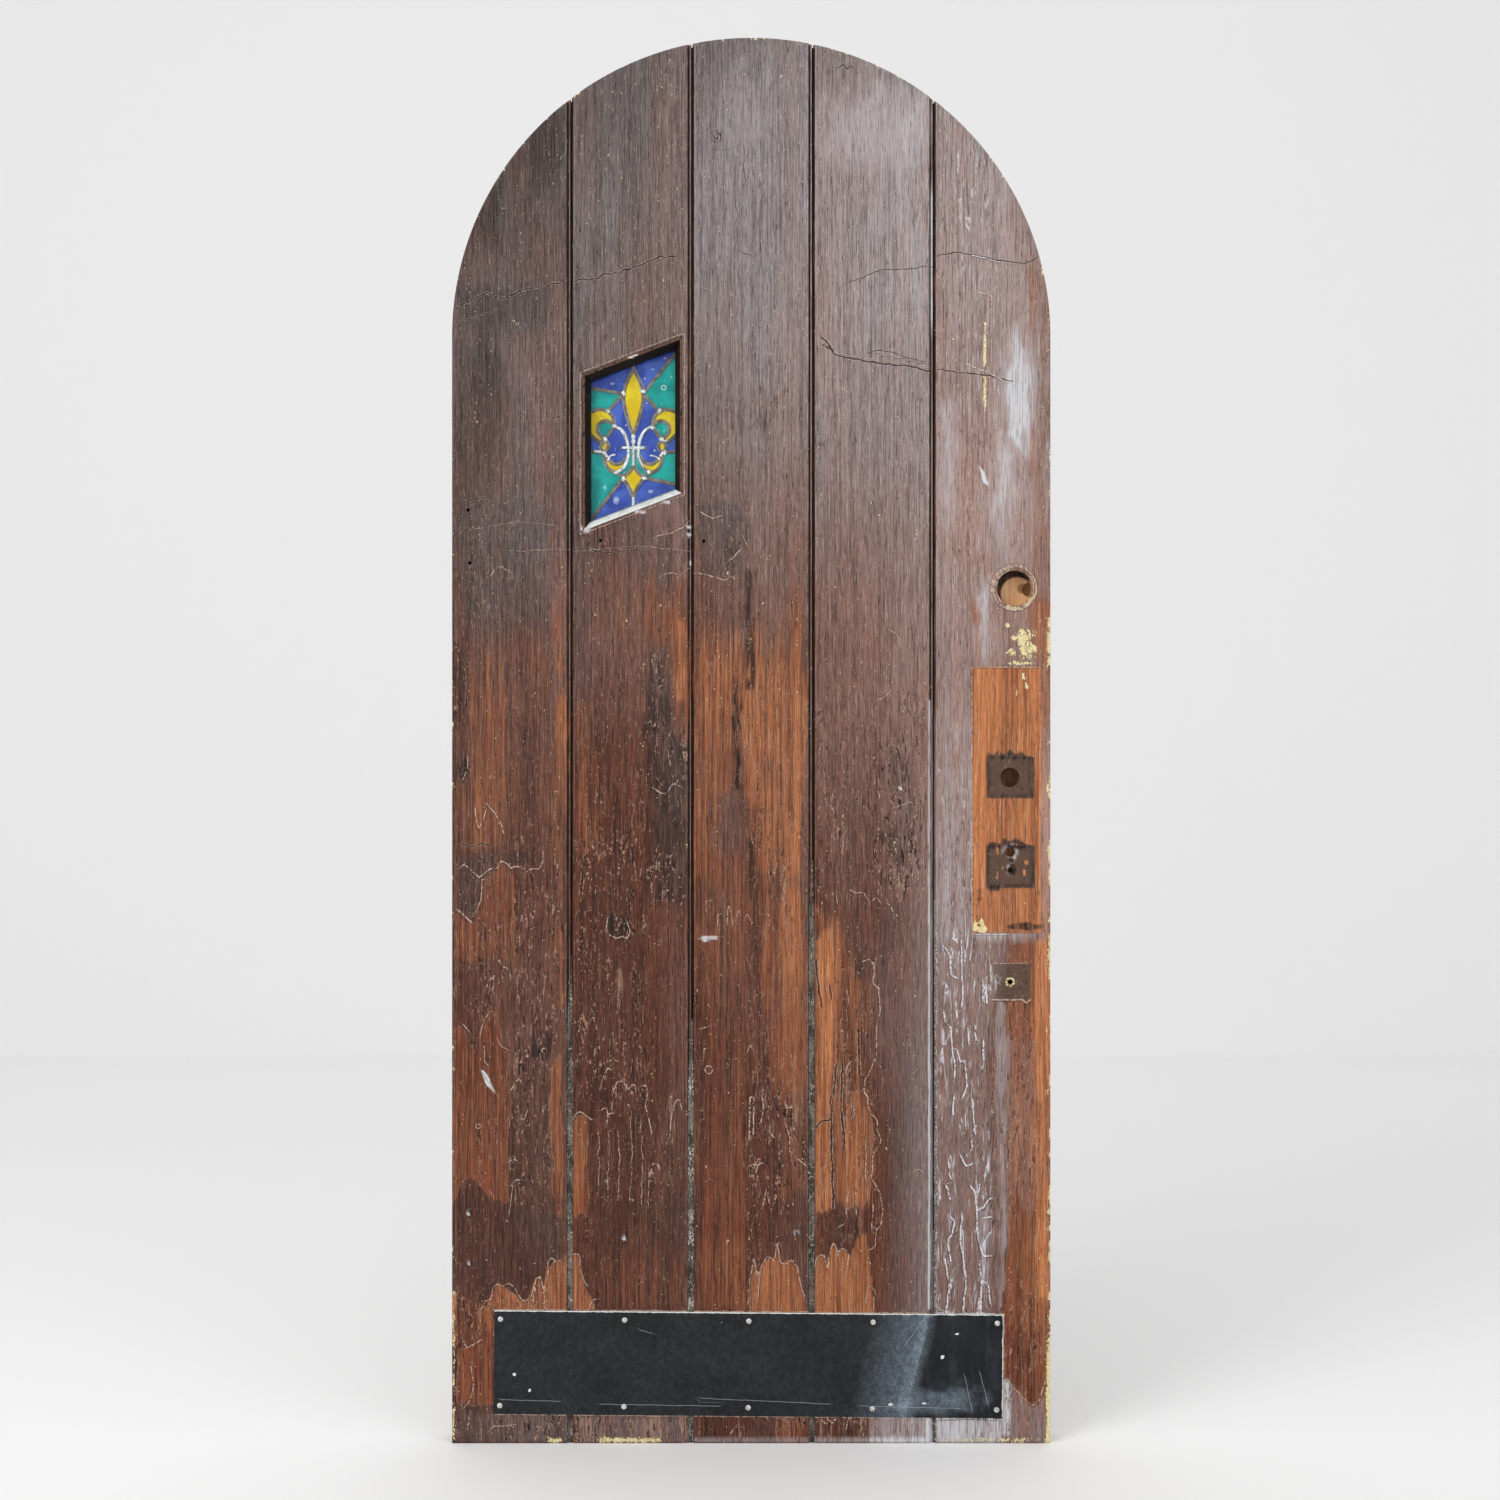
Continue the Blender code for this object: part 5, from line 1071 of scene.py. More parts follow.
# Inside the bores: tan cut wood in the deadbolt's, with a painted shadow from its rim on the upper left of its floor
# and painted shade where the latch bore opens, and dark fuzz in the knob's.
inside = (np.hypot(p.x - DEADBOLT[0], p.h - DEADBOLT[1]) < 27.2) & (p.depth > 1) & (p.depth < 29)
# The painted shadow: all of the floor outside a disc shifted down and to the right, as a rim lit from the upper left
# leaves it.
crescent = np.hypot(p.x - DEADBOLT[0] - 7, p.h - DEADBOLT[1] + 6)
p.layers["raw"][inside] = 1
p.layers["fresh"][inside] = 0.9
p.layers["soot"][inside] = 0
p.add(inside * np.clip((crescent - 24) / 2, 0, 1), raw=-1, soot=3)
# Painted shade where the latch bore opens from the floor, and down inside the latch bore.
p.add(inside * (p.depth > 27) * np.clip((9 - np.hypot(p.x - 874, p.h - 1307)) / 3, 0, 1), fresh=-0.7)
p.add((np.hypot(p.x - DEADBOLT[0], p.h - DEADBOLT[1]) < 27.2) * (p.depth > 29.5) * (p.depth < 36), raw=-0.35,
      soot=0.7)
inside = (np.hypot(p.x - KNOB[0], p.h - KNOB[1]) < 15.2) & (p.depth > 1) & (p.depth < 31)
p.layers["raw"][inside] = 0.25
p.co[:, 1] += np.where(inside & (p.depth > 25), 4 * (p.rough(3, 3, 26) - 0.8), 0) / 1000
p.line("crack", (741, 1813), (768, 1819), (799, 1814), (852, 1804), (875, 1802), (906, 1816), wide=0.8, wander=3)
p.line("crack", (742, 1640), (776, 1634), (822, 1630), (855, 1622), wide=0.8, wander=3)
# Seams of lifted varnish and its curls, in the same way.
for wide, wander, *course in (
    (0.9, 1, (803, 1758), (825, 1752), (822, 1733), (816, 1726)), (1.2, 1.5, (794, 1814), (814, 1810), (837, 1804)),
    (1.0, 3, (785, 1648), (814, 1637), (849, 1620)),
    (0.9, 1, (841, 98), (849, 96), (858, 84), (867, 75), (878, 63), (887, 57), (896, 63), (901, 78), (907, 96)),
    (1.4, 2, (750, 761), (761, 745), (762, 715), (771, 710)),
    (1.4, 2, (777, 768), (779, 722), (780, 677), (777, 661)),
    (1.4, 2, (751, 658), (753, 643), (762, 634), (764, 600), (768, 577), (767, 557)),
    (1.4, 2, (770, 661), (771, 649)), (1.4, 2, (771, 600), (777, 582), (783, 585), (787, 547), (779, 527)),
    (1.4, 2, (811, 707), (811, 673)), (1.4, 2, (787, 635), (790, 608)), (1.4, 2, (799, 638), (800, 615)),
    (1.4, 2, (812, 615), (811, 585)), (1.4, 2, (767, 531), (765, 501)), (1.4, 2, (757, 432), (762, 402)),
    (1.4, 2, (794, 528), (796, 509), (799, 470)), (1.4, 2, (794, 463), (794, 447)),
    (1.4, 2, (753, 394), (757, 386), (761, 371)), (1.4, 2, (776, 440), (785, 423), (794, 426)),
    (1.4, 2, (759, 348), (767, 338), (764, 318), (756, 310)),
    (1.4, 2, (779, 351), (776, 310), (782, 276), (785, 241), (780, 200)),
    (1.4, 2, (751, 287), (756, 264), (759, 234), (754, 200)), (1.4, 2, (757, 310), (762, 276)),
    (1.4, 2, (791, 394), (799, 383), (805, 385), (806, 396)),
    (1.4, 2, (799, 383), (802, 359), (812, 359), (819, 371), (823, 373)),
    (1.4, 2, (802, 359), (802, 325), (808, 295)), (1.4, 2, (812, 344), (823, 345)),
    (1.4, 2, (823, 325), (816, 313), (808, 295), (812, 286), (823, 286)),
    (1.4, 2, (805, 276), (809, 249), (808, 200)), (1.4, 2, (809, 249), (819, 243), (823, 211)),
    (1.4, 2, (803, 200), (805, 221)), (1.4, 2, (816, 699), (817, 670)), (1.4, 2, (822, 730), (823, 692)),
    (1.0, 1, (739, 35), (783, 37), (838, 35)), (1.0, 0.5, (794, 779), (794, 1185), (898, 1185)),
    (0.8, 0.5, (794, 777), (852, 777)), (0.7, 0.5, (828, 732), (883, 733)),
    (1.5, 0.8, (826, 677), (871, 677), (877, 672), (883, 677)),
):
    p.line("seam", *course, wide=wide, wander=wander)
p.finish("plank_5_wood", "plank_5")


# ---------------------------------------------------------------- dirt in the joints
# Road dirt and old paint dust that has packed into the joints' mouths near the foot, and stuck there.
def packed_dirt():
    """Grey dirt with white specks and dark pits."""
    f = Finish("packed_dirt", Specular_IOR_Level=0.1)
    speck = f.noise((500, 500, 260), 3, 0.6, 0.65)
    lump = f.noise((90, 90, 22), 3, 0.5, 0.6, 4.0)
    colour = f.mix(f.step(lump, 0.4, 0.62), tint(70, 63, 58), tint(122, 114, 105))
    colour = f.mix(f.step(f.plus(speck, f.times(f.layer("white"), 0.22)), 0.62, 0.7), colour, tint(206, 200, 192))
    colour = f.mix(f.step(speck, 0.44, 0.34), colour, tint(34, 28, 26))
    return f.done(colour, 0.85, f.plus(speck, lump), 1.0, 0.0015)


DIRT = packed_dirt()


def joint_dirt(number, top, level, white):
    """A strip of dirt in a joint, up to a height, its face so far below the planks', with so much white in it."""
    row_height, columns, bottom = 3.2, 9, 6.5
    rows = round(top / row_height)
    heights = np.linspace(0.5, top, rows)
    places = np.linspace(-4.6, 4.9, columns)
    x = JOINTS[number] + np.repeat(places[None], rows, 0)
    h = np.repeat(heights[:, None], columns, 1)
    worn_down = np.clip((top - heights) / 120, 0, 1)[:, None]
    lumps = np.sin(h * 0.31 + number) * 0.3 + np.sin(h * 0.83 + places[None] * 1.7) * 0.3
    lumps = lumps + np.sin(h * 2.1 - places[None] * 2.3) * 0.25
    walls = np.where(places < -0.6, (places + 5.5) * 1.2, (5.5 - places) * 1.35)[None]
    depth = np.clip(level + lumps + 3.0 * (1 - worn_down), 0.4, None)
    depth = np.maximum(depth, np.minimum(walls, 4.2) - 1.5)
    outer = np.stack([(x + HINGE_EDGE) / 1000, (depth - LEAF_THICKNESS / 2) / 1000, (h + FOOT) / 1000],
            -1).reshape(-1, 3)
    inner = outer.copy()
    inner[:, 1] = (bottom - LEAF_THICKNESS / 2) / 1000
    shape = bmesh.new()
    front, back = [[shape.verts.new(v) for v in side] for side in (outer, inner)]
    for r in range(rows - 1):
        for c in range(columns - 1):
            a, b, d, e = r * columns + c, r * columns + c + 1, (r + 1) * columns + c + 1, (r + 1) * columns + c
            shape.faces.new((front[a], front[b], front[d], front[e]))
            shape.faces.new((back[e], back[d], back[b], back[a]))
    for r in range(rows - 1):
        for c, flip in ((0, 1), (columns - 1, -1)):
            a, b = r * columns + c, (r + 1) * columns + c
            shape.faces.new((front[a], front[b], back[b], back[a])[::flip])
    for c in range(columns - 1):
        for r, flip in ((0, -1), (rows - 1, 1)):
            a, b = r * columns + c, r * columns + c + 1
            shape.faces.new((front[a], front[b], back[b], back[a])[::-flip])
    bmesh.ops.recalc_face_normals(shape, faces=shape.faces)
    mesh = mesh_from(shape, f"joint_dirt_{number}")
    z = [v.co.z for v in mesh.vertices]
    store(mesh, "white", [white * (0.6 + 0.4 * math.sin(v * 55 + number) + 0.35 * math.sin(v * 190)) for v in z])
    mesh.shade_smooth()
    fit_piece(f"joint_dirt_{number}", mesh, DIRT, "plank")


for number, top, level, white in ((1, 745, 1.8, 0.25), (2, 646, 1.6, 0.5), (3, 890, 1.6, 0.25), (4, 325, 4.0, 0.3)):
    joint_dirt(number, top, level, white)


# ---------------------------------------------------------------- window stops and sill
# Dark stained stops nailed round the opening from the front, and a lowest one painted white, mitred at the corners.
def stop_varnish():
    """Dark varnish, darkened to near black as painted shade of the deep reveal, with a painted highlight on the bead at
    the front, and chipped.
    """
    f = Finish("stop_varnish", Specular_IOR_Level=0.2)
    streak = f.noise((300, 300, 14), 3, 0.3, 0.6)
    chip = f.noise((260, 260, 200), 3, 0.5, 0.6, 6.0)
    depth = f.node("ShaderNodeSeparateXYZ", {0: f.place}).outputs[1]
    bead = f.step(depth, -0.02, -0.0188, 1.0, 0.0)
    # Near black all over: dark stain with the painted shade of the deep reveal in it.
    colour = f.mix(f.step(streak, 0.42, 0.64), tint(26, 17, 14), tint(12, 8, 7))
    # A painted highlight along the front bead, broken by the chips.
    colour = f.mix(f.times(bead, f.step(chip, 0.36, 0.5)), colour, tint(112, 80, 66))
    colour = f.mix(f.step(chip, 0.66, 0.7, 0.0, 0.6), colour, tint(140, 108, 88))
    colour = f.mix(f.calc("MAXIMUM", f.near(272, 1659, 5, 2), f.near(278, 1662, 5, 1.8)), colour, tint(224, 222, 214))
    return f.done(colour, f.step(chip, 0.3, 0.7, 0.38, 0.62), f.plus(streak, f.times(chip, 0.5)), 0.7, 0.0006)


def chipped_white():
    """White paint, dirty, chipped to the wood, and grey with shadow further back."""
    f = Finish("chipped_white", Specular_IOR_Level=0.3)
    chip = f.noise((330, 330, 330), 3, 0.6, 0.6)
    dirt = f.noise((45, 45, 45), 3, 0.4, 0.6, 3.0)
    colour = f.mix(f.step(dirt, 0.45, 0.7, 0.0, 0.5), tint(226, 231, 228), tint(168, 172, 168))
    colour = f.mix(f.step(chip, 0.66, 0.7), colour, tint(74, 52, 42))
    depth = f.node("ShaderNodeSeparateXYZ", {0: f.place}).outputs[1]
    colour = f.mix(f.step(f.plus(depth, f.times(dirt, 0.004)), -0.0105, -0.008, 0.0, 0.75), colour, tint(92, 98, 112))
    return f.done(colour, f.step(chip, 0.3, 0.7, 0.42, 0.6), f.plus(f.times(f.step(chip, 0.66, 0.7), -1.0), dirt),
            0.8, 0.0007)


def give_finish(node, material):
    """A CAD node whose shape is right stays, with a better finish."""
    frame["nodes"][node].data.materials.clear()
    frame["nodes"][node].data.materials.append(material)


STOP_VARNISH = stop_varnish()
for node in ("top_window_stop", "left_window_stop", "right_window_stop"):
    give_finish(node, STOP_VARNISH)
give_finish("window_sill", chipped_white())


# ---------------------------------------------------------------- stained glass
# Twenty-six panes of coloured glass, wavy and seedy, cut to the drawing and held in the leads.
def coloured_glass(name, deep, light, fleck):
    """Wavy glass of two tones, with pale flecks, smears and one round bubble."""
    f = Finish(name, Specular_IOR_Level=0.5, Transmission_Weight=0.25, IOR=1.45)
    wave = f.noise((30, 30, 30), 2, 0.6, 0.5)
    seed = f.noise((160, 160, 160), 3, 0.6, 0.6, 2.0)
    smear = f.noise((110, 110, 60), 4, 1.2, 0.6, 8.0)
    colour = f.mix(f.step(wave, 0.35, 0.65), deep, light)
    colour = f.mix(f.step(smear, 0.52, 0.72, 0.0, 0.35), colour, light)
    colour = f.mix(f.step(seed, 0.68, 0.72, 0.0, 0.85), colour, fleck)
    for spot in ((243, 1623, 3.0, 1.8), (305, 1645, 2.4, 1.4), (293, 1631, 1.4, 1.6), (334, 1633, 1.4, 1.6),
            (308, 1520, 1.7, 1.7), (264, 1559, 1.4, 1.6), (231, 1462, 2.4, 4.0), (249, 1443, 4.5, 5.5),
            (302, 1457, 3.6, 2.6), (296, 1593, 1.2, 1.2), (226, 1570, 1.2, 1.2)):
        colour = f.mix(f.times(f.near(*spot, 0.35), f.step(smear, 0.36, 0.5), 0.8), colour, fleck)
    bubble = f.times(f.near(322, 1617, 4.2, 4.2, 0.2), f.calc("SUBTRACT", 1.0, f.near(322, 1617, 2.4, 2.4, 0.3)))
    colour = f.mix(bubble, colour, fleck)
    return f.done(colour, f.step(seed, 0.4, 0.8, 0.16, 0.34), f.plus(wave, f.times(seed, 0.4)), 0.5, 0.0008)


GLASS = {"blue_glass": coloured_glass("blue_glass_pane", tint(50, 76, 170), tint(78, 112, 208), tint(196, 208, 240)),
         "green_glass": coloured_glass("green_glass_pane", tint(8, 152, 146), tint(24, 186, 176),
         tint(190, 235, 225)), "yellow_glass": coloured_glass("yellow_glass_pane", tint(226, 196, 16),
         tint(246, 226, 40), tint(250, 244, 190))}
YELLOW = ("petal", "diamond", "volute", "tail", "curl")
GREEN = ("shoulder", "eye", "flank", "throat")
for node in frame["nodes"]:
    if node.endswith("_pane"):
        kind = node.split("_")[-2]
        give_finish(node, GLASS["yellow_glass" if kind in YELLOW else "green_glass" if kind in GREEN
                    else "blue_glass"])


# ---------------------------------------------------------------- lead cames
# Cast lead cames, rounded on their faces and soldered at every crossing. The solder is bright beside the dull lead,
# and someone has run it over the stems, the band and little spurs inside the heart panes.
def dull_lead():
    """Grey lead, patchy and pitted."""
    f = Finish("dull_lead", Specular_IOR_Level=0.4, Metallic=0.25)
    patch = f.noise((120, 120, 120), 3, 0.6, 0.6)
    fine = f.noise((700, 700, 700), 2, 0.2, 0.6, 3.0)
    colour = f.mix(f.step(patch, 0.38, 0.62), tint(98, 92, 84), tint(138, 132, 122))
    colour = f.mix(f.step(fine, 0.58, 0.7, 0.0, 0.5), colour, tint(72, 66, 60))
    return f.done(colour, f.step(patch, 0.3, 0.7, 0.5, 0.7), f.plus(patch, f.times(fine, 0.4)), 0.8, 0.0006)


def bright_solder():
    """Solder that is still bright, with dull patches."""
    f = Finish("bright_solder", Specular_IOR_Level=0.5, Metallic=0.15)
    patch = f.noise((260, 260, 260), 3, 0.8, 0.6)
    colour = f.mix(f.step(patch, 0.42, 0.66), tint(228, 236, 240), tint(160, 166, 168))
    return f.done(colour, f.step(patch, 0.3, 0.7, 0.28, 0.5), patch, 1.0, 0.0009)


def made_by_modifiers(obj):
    """The mesh that an object's modifiers or curve settings make. The object itself is taken away."""
    bpy.context.scene.collection.objects.link(obj)
    bpy.context.view_layer.update()
    mesh = bpy.data.meshes.new_from_object(obj.evaluated_get(bpy.context.evaluated_depsgraph_get()))
    bpy.data.objects.remove(obj)
    return mesh


net = bpy.data.objects.new("net", frame["nodes"]["lead_cames"].data.copy())
round_over = net.modifiers.new("round_over", "BEVEL")
round_over.width, round_over.segments = 0.0012, 2
round_over.limit_method, round_over.angle_limit = "ANGLE", math.radians(50)
cames = made_by_modifiers(net)
cames.shade_smooth()
cames.set_sharp_from_angle(angle=math.radians(60))
fit_piece("rounded_lead_cames", cames, dull_lead(), "lead", "lead_cames")

SIGHT, CAME_FACE = 129.6, 28.2
SOLDERED = {"stems": [((-0.222, 0.125), (-0.135, 0.067), (-0.082, -0.03), (-0.062, -0.135), (-0.066, -0.25),
            (-0.122, -0.375), (-0.205, -0.43)), ((0.222, 0.125), (0.135, 0.067), (0.082, -0.03), (0.062, -0.135),
            (0.066, -0.25), (0.122, -0.375)), ((0, 0.02), (0, -0.1), (0, -0.345)),
            ((-0.135, -0.135), (0.135, -0.135)), ((0, -0.72), (0, -0.9)),
            ((-0.47, -0.175), (-0.345, -0.2), (-0.31, -0.25)), ((0.38, -0.185), (0.345, -0.2), (0.32, -0.24))],
            "spurs": [((-0.3, -0.285), (-0.275, -0.235), (-0.215, -0.215)), ((0.315, -0.275), (0.275, -0.245),
            (0.205, -0.225)), ((0.335, -0.035), (0.385, -0.055), (0.4, -0.04))], "blobs": [(-0.118, 0.512),
            (0.118, 0.535), (-0.302, 0.3), (0.312, 0.3), (-0.224, 0.125), (0.228, 0.1), (-0.335, -0.035),
            (0.335, -0.035), (-0.345, -0.2), (0.375, -0.195), (-0.205, -0.43), (0.185, -0.425), (-0.118, -0.505),
            (0.13, -0.5), (0, 0.0), (-0.062, -0.135), (0.062, -0.135), (0, -0.15), (0, -0.06)], }


def solder_place(u, w):
    """Metres in the row frame for a place in the fleur-de-lis, in shares of the clear width from the light's middle."""
    return Vector(leaf_point(OPENING_CENTRE[0] + u * SIGHT, CAME_FACE, OPENING_CENTRE[1] + w * SIGHT))


def solder_run(name, line, width):
    """A run of solder on a came: a flattened bead along a smooth line, uneven in width."""
    curve = bpy.data.curves.new(name, "CURVE")
    curve.dimensions, curve.bevel_depth, curve.bevel_resolution, curve.use_fill_caps = "3D", width, 3, True
    spline = curve.splines.new("BEZIER")
    spline.bezier_points.add(len(line) - 1)
    for n, (point, (u, w)) in enumerate(zip(spline.bezier_points, line)):
        point.co = solder_place(u, w)
        point.handle_left_type = point.handle_right_type = "AUTO"
        point.radius = (0.55, 1.15, 0.85, 1.25, 0.8, 1.1, 0.6)[(n * 3 + len(line)) % 7]
    return made_by_modifiers(bpy.data.objects.new(name, curve))


solder = bmesh.new()
for n, line in enumerate(SOLDERED["stems"] + SOLDERED["spurs"]):
    solder.from_mesh(solder_run(f"run_{n}", line, 0.0024 if n < 7 else 0.0017))
for n, (u, w) in enumerate(SOLDERED["blobs"]):
    wide, tall = (1.0, 1.35) if n % 3 == 0 else (1.3, 0.9) if n % 3 == 1 else (1.05, 1.05)
    made = bmesh.ops.create_icosphere(solder, subdivisions=3, radius=0.0031,
            matrix=Matrix.Translation(solder_place(u, w)))
    middle = solder_place(u, w)
    for vert in made["verts"]:
        away = vert.co - middle
        bump = 1 + 0.22 * math.sin(away.x * 1900 + n) * math.sin(away.z * 1500 + 2 * n)
        vert.co = middle + Vector((away.x * wide * bump, away.y, away.z * tall * bump))
came_face = leaf_point(0, CAME_FACE, 0)[1]
for vert in solder.verts:
    vert.co.y = came_face + (vert.co.y - came_face) * 0.55
bmesh.ops.remove_doubles(solder, verts=solder.verts, dist=1e-6)
bmesh.ops.recalc_face_normals(solder, faces=solder.faces)
solder = mesh_from(solder, "solder")
solder.shade_smooth()
fit_piece("solder_joints", solder, bright_solder(), "lead")


# ---------------------------------------------------------------- kick plate
# A thin black sheet, screwed over the foot of the planks a little out of level. Rain haze, scuffs and scratches.
def black_sheet():
    """Black paint, mottled, hazed by rain, glossy where it was wiped and smeared there with painted reflection, with
    scratches and white chips.
    """
    f = Finish("black_sheet", Specular_IOR_Level=0.22)
    mottle = f.noise((150, 150, 120), 4, 0.5, 0.65)
    fine = f.noise((800, 800, 700), 2, 0.2, 0.6, 3.0)
    smear = f.noise((38, 38, 9), 3, 1.2, 0.6, 5.0)
    colour = f.mix(f.step(mottle, 0.4, 0.66), tint(19, 21, 24), tint(34, 37, 40))
    colour = f.mix(f.step(fine, 0.57, 0.66, 0.0, 0.4), colour, tint(74, 77, 78))
    # Where it was wiped: darker, with smears of painted reflection.
    colour = f.mix(f.times(f.layer("gloss"), 0.8), colour, f.mix(f.step(smear, 0.46, 0.66), tint(11, 13, 17),
            tint(36, 42, 50)))
    colour = f.mix(f.times(f.layer("haze"), f.step(f.plus(f.times(mottle, 0.5), fine), 0.62, 0.95, 0.25, 1.1)),
            colour, tint(140, 156, 170))
    scratch = f.layer("scratch")
    colour = f.mix(f.times(f.step(f.calc("ABSOLUTE", scratch), 0.4, 1.0, 1.0, 0.0), 0.7), colour, tint(176, 182, 186))
    white = f.step(f.plus(f.layer("white"), f.times(f.calc("SUBTRACT", mottle, 0.5), 1.2)), 0.5, 0.6)
    colour = f.mix(white, colour, tint(224, 226, 222))
    roughness = f.step(f.plus(mottle, f.layer("haze"), f.times(f.layer("gloss"), -0.5)), 0.0, 1.4, 0.34, 0.72)
    return f.done(colour, roughness, f.plus(f.times(mottle, 0.5), f.times(fine, 0.2), f.times(white, 0.6)), 0.7,
            0.0005)


PLATE_BACK, PLATE_FRONT = -0.3, -1.6
left, right = PLATE_MIDDLE[0] - PLATE_HALF_WIDTH, PLATE_MIDDLE[0] + PLATE_HALF_WIDTH
rim = [(left, PLATE_BACK), (left, PLATE_FRONT + 0.3), (left + 0.3, PLATE_FRONT)]
rim += [(x, PLATE_FRONT) for x in np.linspace(left + 3, right - 3, 290)]
rim += [(right - 0.3, PLATE_FRONT), (right, PLATE_FRONT + 0.3), (right, PLATE_BACK)]
rim += [(x, PLATE_BACK) for x in np.linspace(right - 12, left + 12, 64)]
levels = [-PLATE_HALF_HEIGHT, 0.35 - PLATE_HALF_HEIGHT, *np.linspace(-76, 76, 58), PLATE_HALF_HEIGHT - 0.35,
          PLATE_HALF_HEIGHT]
sheet = prism_mesh("kick_plate_sheet", rim, [PLATE_MIDDLE[1] + level for level in levels])
centre = Matrix.Translation(leaf_point(PLATE_MIDDLE[0], 0, PLATE_MIDDLE[1]))
sheet.transform(centre @ Matrix.Rotation(PLATE_TILT, 4, "Y") @ centre.inverted())
shape = bmesh.new()
shape.from_mesh(sheet)
bmesh.ops.recalc_face_normals(shape, faces=shape.faces)
sheet = mesh_from(shape, "kick_plate_sheet")
plate = Wood(cut(sheet, kick_screw_holes([0, 1, 2, 3, 4])), 66)
outside = plate.depth < PLATE_FRONT + 0.1
band = np.interp(plate.h, [51, 195], [692, 727])
streak = plate.x - band + 5 * (plate.rough(20, 24, 1) - 0.5)
haze = 0.5 * np.clip(1 - np.abs(streak) / 16, 0, 1)
haze = haze + 0.55 * np.clip(1 - np.abs(plate.x - band + 12) / 75, 0, 1) * (plate.x < band + 3)
haze += 0.05 * plate.rough(60, 30, 3) + 0.5 * plate.spot(738, 63, 40, 14, 0.7, 1.2)
haze += 0.35 * plate.spot(783, 69, 30, 16, 0.7, 1.2)
# The wiped, glossy part on the right, where the painted reflection lies.
gloss = np.clip((plate.x - band - 8) / 12, 0, 1)
white = plate.spot(748, 131, 3.2, 3.2, 0.6) * 1.2
for much, chip in ((1, (771, 166, 3, 1.5)), (1, (670, 60, 8, 1.6)), (1, (721, 60, 5, 1.4)), (0.9, (96, 105, 3, 3)),
                   (0.8, (119, 81, 2, 4)), (1, (412, 185, 2, 2))):
    white = white + plate.spot(*chip) * much
for start, end in (((73, 67), (165, 64)), ((226, 60), (409, 57)), ((379, 69), (577, 60)), ((623, 57), (776, 53)),
        ((692, 150), (722, 191)), ((287, 173), (305, 168)), ((783, 104), (794, 50)), ((806, 108), (819, 58))):
    plate.line("seam", start, end, wide=0.45, wander=1)
dents = 0.35 * (plate.rough(60, 40, 4) - 0.5) - 0.25 * np.clip(white, 0, 1)
plate.co[:, 1] -= np.where(outside, np.clip(dents, -0.3, 0.2), 0) / 1000
plate.mesh.vertices.foreach_set("co", plate.co.ravel())
top_edge = [PLATE_MIDDLE[1] + PLATE_HALF_HEIGHT + 3.4 * side for side in (1, -1)]
below_top = np.interp(plate.x, [left, right], top_edge) - plate.h
white = white + np.clip(1.35 - below_top / 1.6, 0, 1) * 0.9 + (plate.x > right - 1.0) * 0.8
for name, values in {"haze": haze, "gloss": gloss, "white": white, "scratch": plate.lines["seam"]}.items():
    store(plate.mesh, name, values)
fit_piece("kick_plate_sheet", plate.mesh, black_sheet(), "kick_plate", "kick_plate")


# ---------------------------------------------------------------- kick plate screws
# Ten slotted round-head screws, plated, dulled and rubbed by shoes.
def dulled_plating():
    """Bright plating, dulled in patches."""
    f = Finish("dulled_plating", Specular_IOR_Level=0.5, Metallic=0.2)
    patch = f.noise((420, 420, 420), 3, 0.6, 0.6)
    colour = f.mix(f.step(patch, 0.46, 0.62), tint(232, 233, 229), tint(140, 136, 128))
    return f.done(colour, f.step(patch, 0.3, 0.7, 0.26, 0.55), patch, 0.8, 0.0005)


def screw_blank(head=4.2, dome=2.6, shank=1.8, length=20, sides=28):
    """A round-head screw without its slot, pointing back from the origin, turned from its profile."""
    section = [(head * math.cos(a), dome * math.sin(a)) for a in np.linspace(math.pi / 2, 0, 8)[1:]]
    section += [(shank, 0), (shank, shank - length)]
    turns = [2 * math.pi * k / sides for k in range(sides)]
    shape = bmesh.new()
    crown, tip = shape.verts.new((0, -dome / 1000, 0)), shape.verts.new((0, length / 1000, 0))
    rings = [[shape.verts.new((r * math.cos(t) / 1000, -z / 1000, r * math.sin(t) / 1000)) for t in turns]
             for r, z in section]
    for k in range(sides):
        m = (k + 1) % sides
        shape.faces.new((crown, rings[0][k], rings[0][m]))
        shape.faces.new((tip, rings[-1][k], rings[-1][m]))
        for upper, lower in zip(rings, rings[1:]):
            shape.faces.new((upper[k], lower[k], lower[m], upper[m]))
    bmesh.ops.recalc_face_normals(shape, faces=shape.faces)
    return mesh_from(shape, "screw")


def slot_cutter(turn, half_length=6, half_width=0.5):
    """A cutter for a screw's slot, turned so many degrees about the origin."""
    corners = [(x * half_length - HINGE_EDGE, h * half_width - FOOT) for x, h in ((-1, -1), (1, -1), (1, 1), (-1, 1))]
    cutter = cutter_block(corners, LEAF_THICKNESS / 2 - 5, LEAF_THICKNESS / 2 - 1.5)
    cutter.transform(Matrix.Rotation(math.radians(turn), 4, "Y"))
    return cutter


PLATING = dulled_plating()
for column in range(5):
    for row, up in (("upper", 1), ("lower", -1)):
        x, h = kick_place(column, up)
        screw = cut(screw_blank(), [slot_cutter((column * 73 + up * 31) % 180)])
        screw.transform(Matrix.Translation(leaf_point(x, -1.9, h)))
        screw.shade_smooth()
        screw.set_sharp_from_angle(angle=math.radians(40))
        fit_piece(f"slotted_{row}_screw_{column + 1}", screw, PLATING, "screw", f"{row}_kick_screw_{column + 1}")


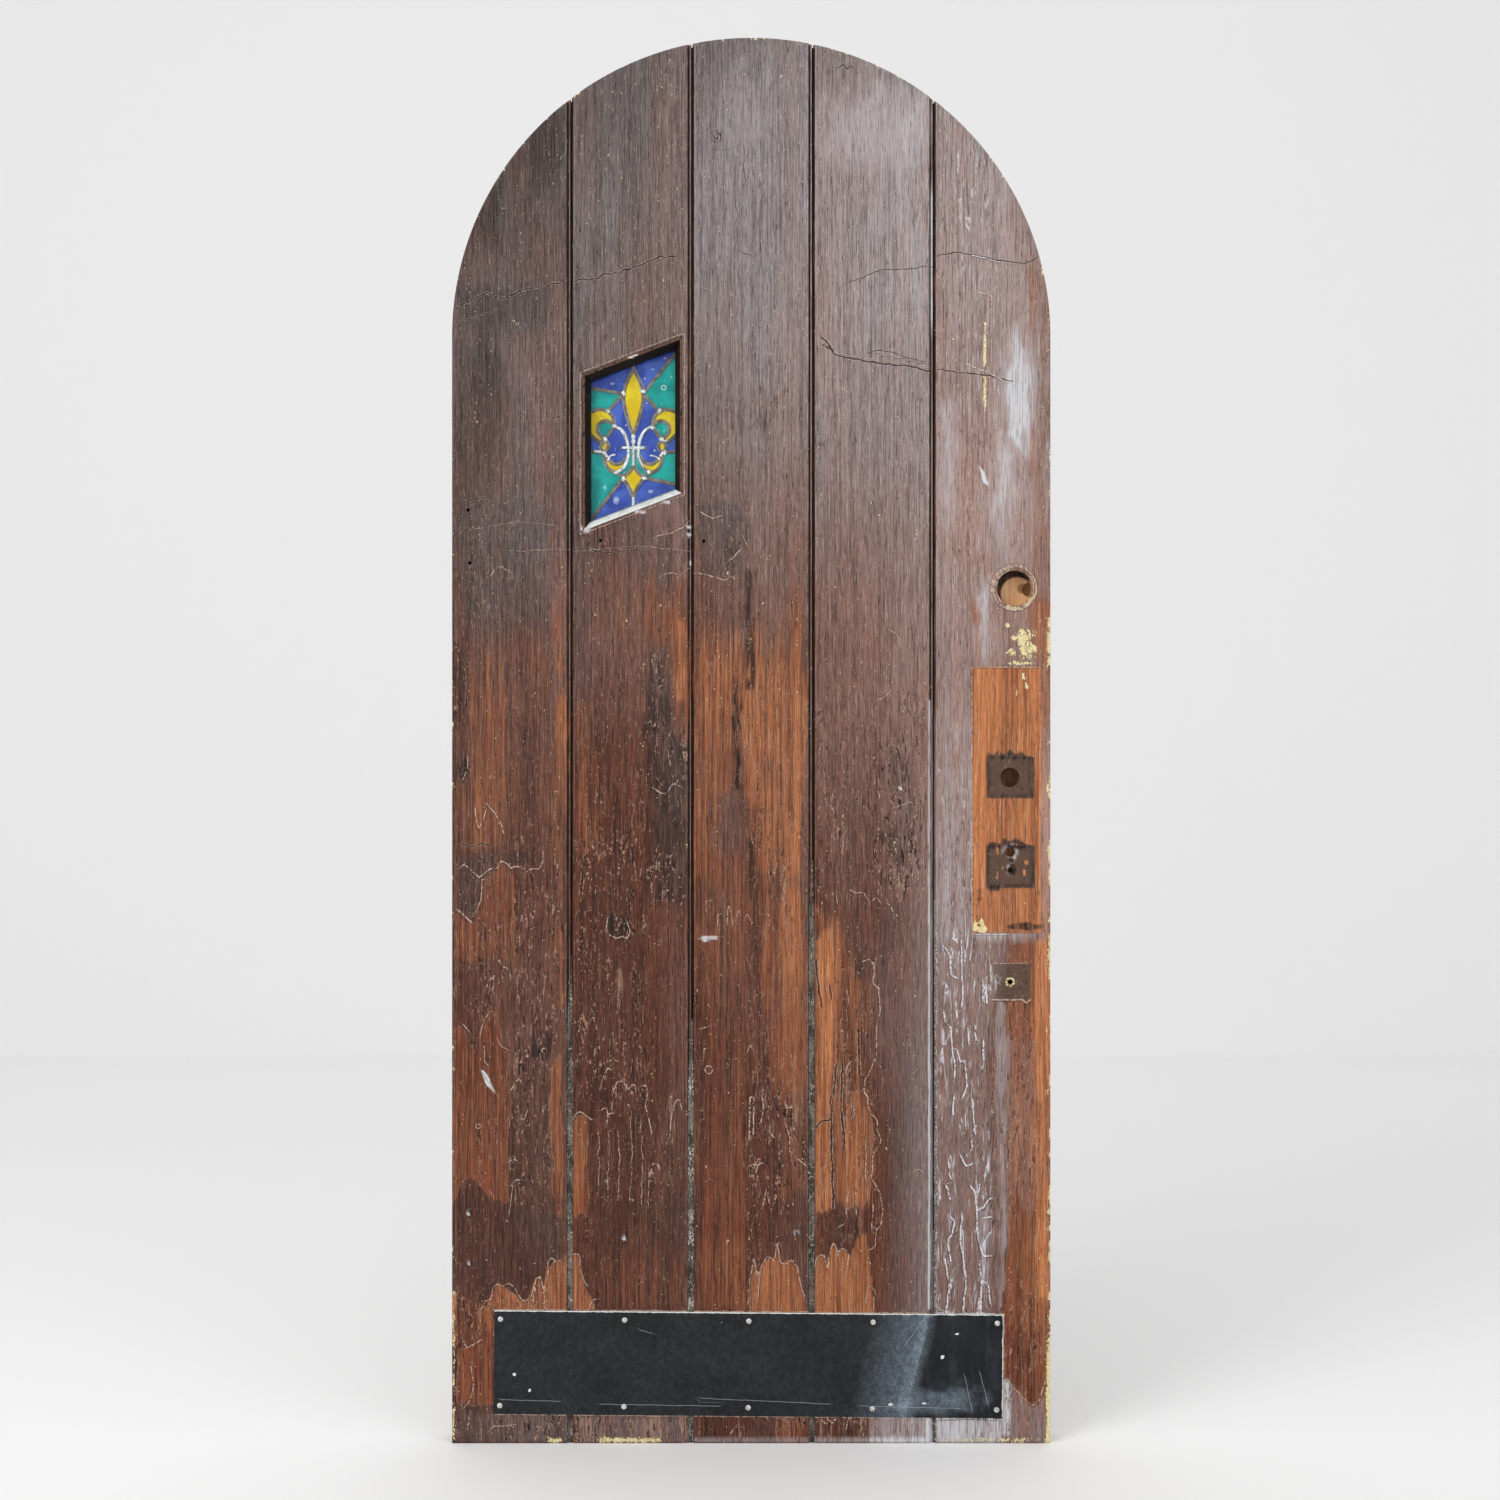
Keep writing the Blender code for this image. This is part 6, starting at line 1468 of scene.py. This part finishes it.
# ---------------------------------------------------------------- the room
# The floor that the leaf stands on, a pale backdrop, soft lights and the camera, straight on to the face.
VIEW_WIDTH, VIEW_CENTRE = 2.2908, (0.4526, 0.1584)


def plain_sheet(name, size, place, turn, colour):
    """A flat plain sheet of the studio."""
    shape = bmesh.new()
    bmesh.ops.create_grid(shape, x_segments=8, y_segments=8, size=size / 2)
    mesh = mesh_from(shape, name)
    sheet = bpy.data.objects.new(name, mesh)
    sheet.location, sheet.rotation_euler = place, turn
    bpy.context.scene.collection.objects.link(sheet)
    mesh.materials.append(Finish(name, Base_Color=tint(*colour), Roughness=0.8).material)
    sheet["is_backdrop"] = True


plain_sheet("studio_floor", 40, (0.45, 0, FOOT / 1000 - 0.0005), (0, 0, 0), (250, 250, 250))
plain_sheet("studio_backdrop", 40, (0.45, 4.0, 0), (math.radians(90), 0, 0), (250, 250, 250))


def soft_light(name, place, aim, size, power):
    """A square soft light of so many metres and watts, aimed at a place."""
    lamp = bpy.data.lights.new(name, "AREA")
    lamp.energy, lamp.size = power, size
    light = bpy.data.objects.new(name, lamp)
    light.location = place
    light.rotation_euler = (Vector(aim) - Vector(place)).to_track_quat("-Z", "Y").to_euler()
    bpy.context.scene.collection.objects.link(light)


soft_light("key_light", (-1.8, -2.6, 2.6), (0.45, 0, 0.2), 1.8, 60)
soft_light("fill_light", (2.8, -3.0, 1.2), (0.45, 0, 0.0), 2.4, 20)
world = bpy.data.worlds.new("studio")
bpy.context.scene.world = world
world.use_nodes = True
world.node_tree.nodes["Background"].inputs[0].default_value = (1, 1, 1, 1)
world.node_tree.nodes["Background"].inputs[1].default_value = 0.74
bpy.context.scene.view_settings.view_transform = "Standard"

camera = bpy.data.cameras.new("camera")
camera.lens, camera.sensor_width = 50, 36
eye = bpy.data.objects.new("camera", camera)
distance = VIEW_WIDTH * camera.lens / camera.sensor_width  # so that VIEW_WIDTH metres of the face fill the frame
eye.location = (VIEW_CENTRE[0], -LEAF_THICKNESS / 2000 - distance, VIEW_CENTRE[1])
eye.rotation_euler = (math.radians(90), 0, 0)
bpy.context.scene.collection.objects.link(eye)
bpy.context.scene.camera = eye

low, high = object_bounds()
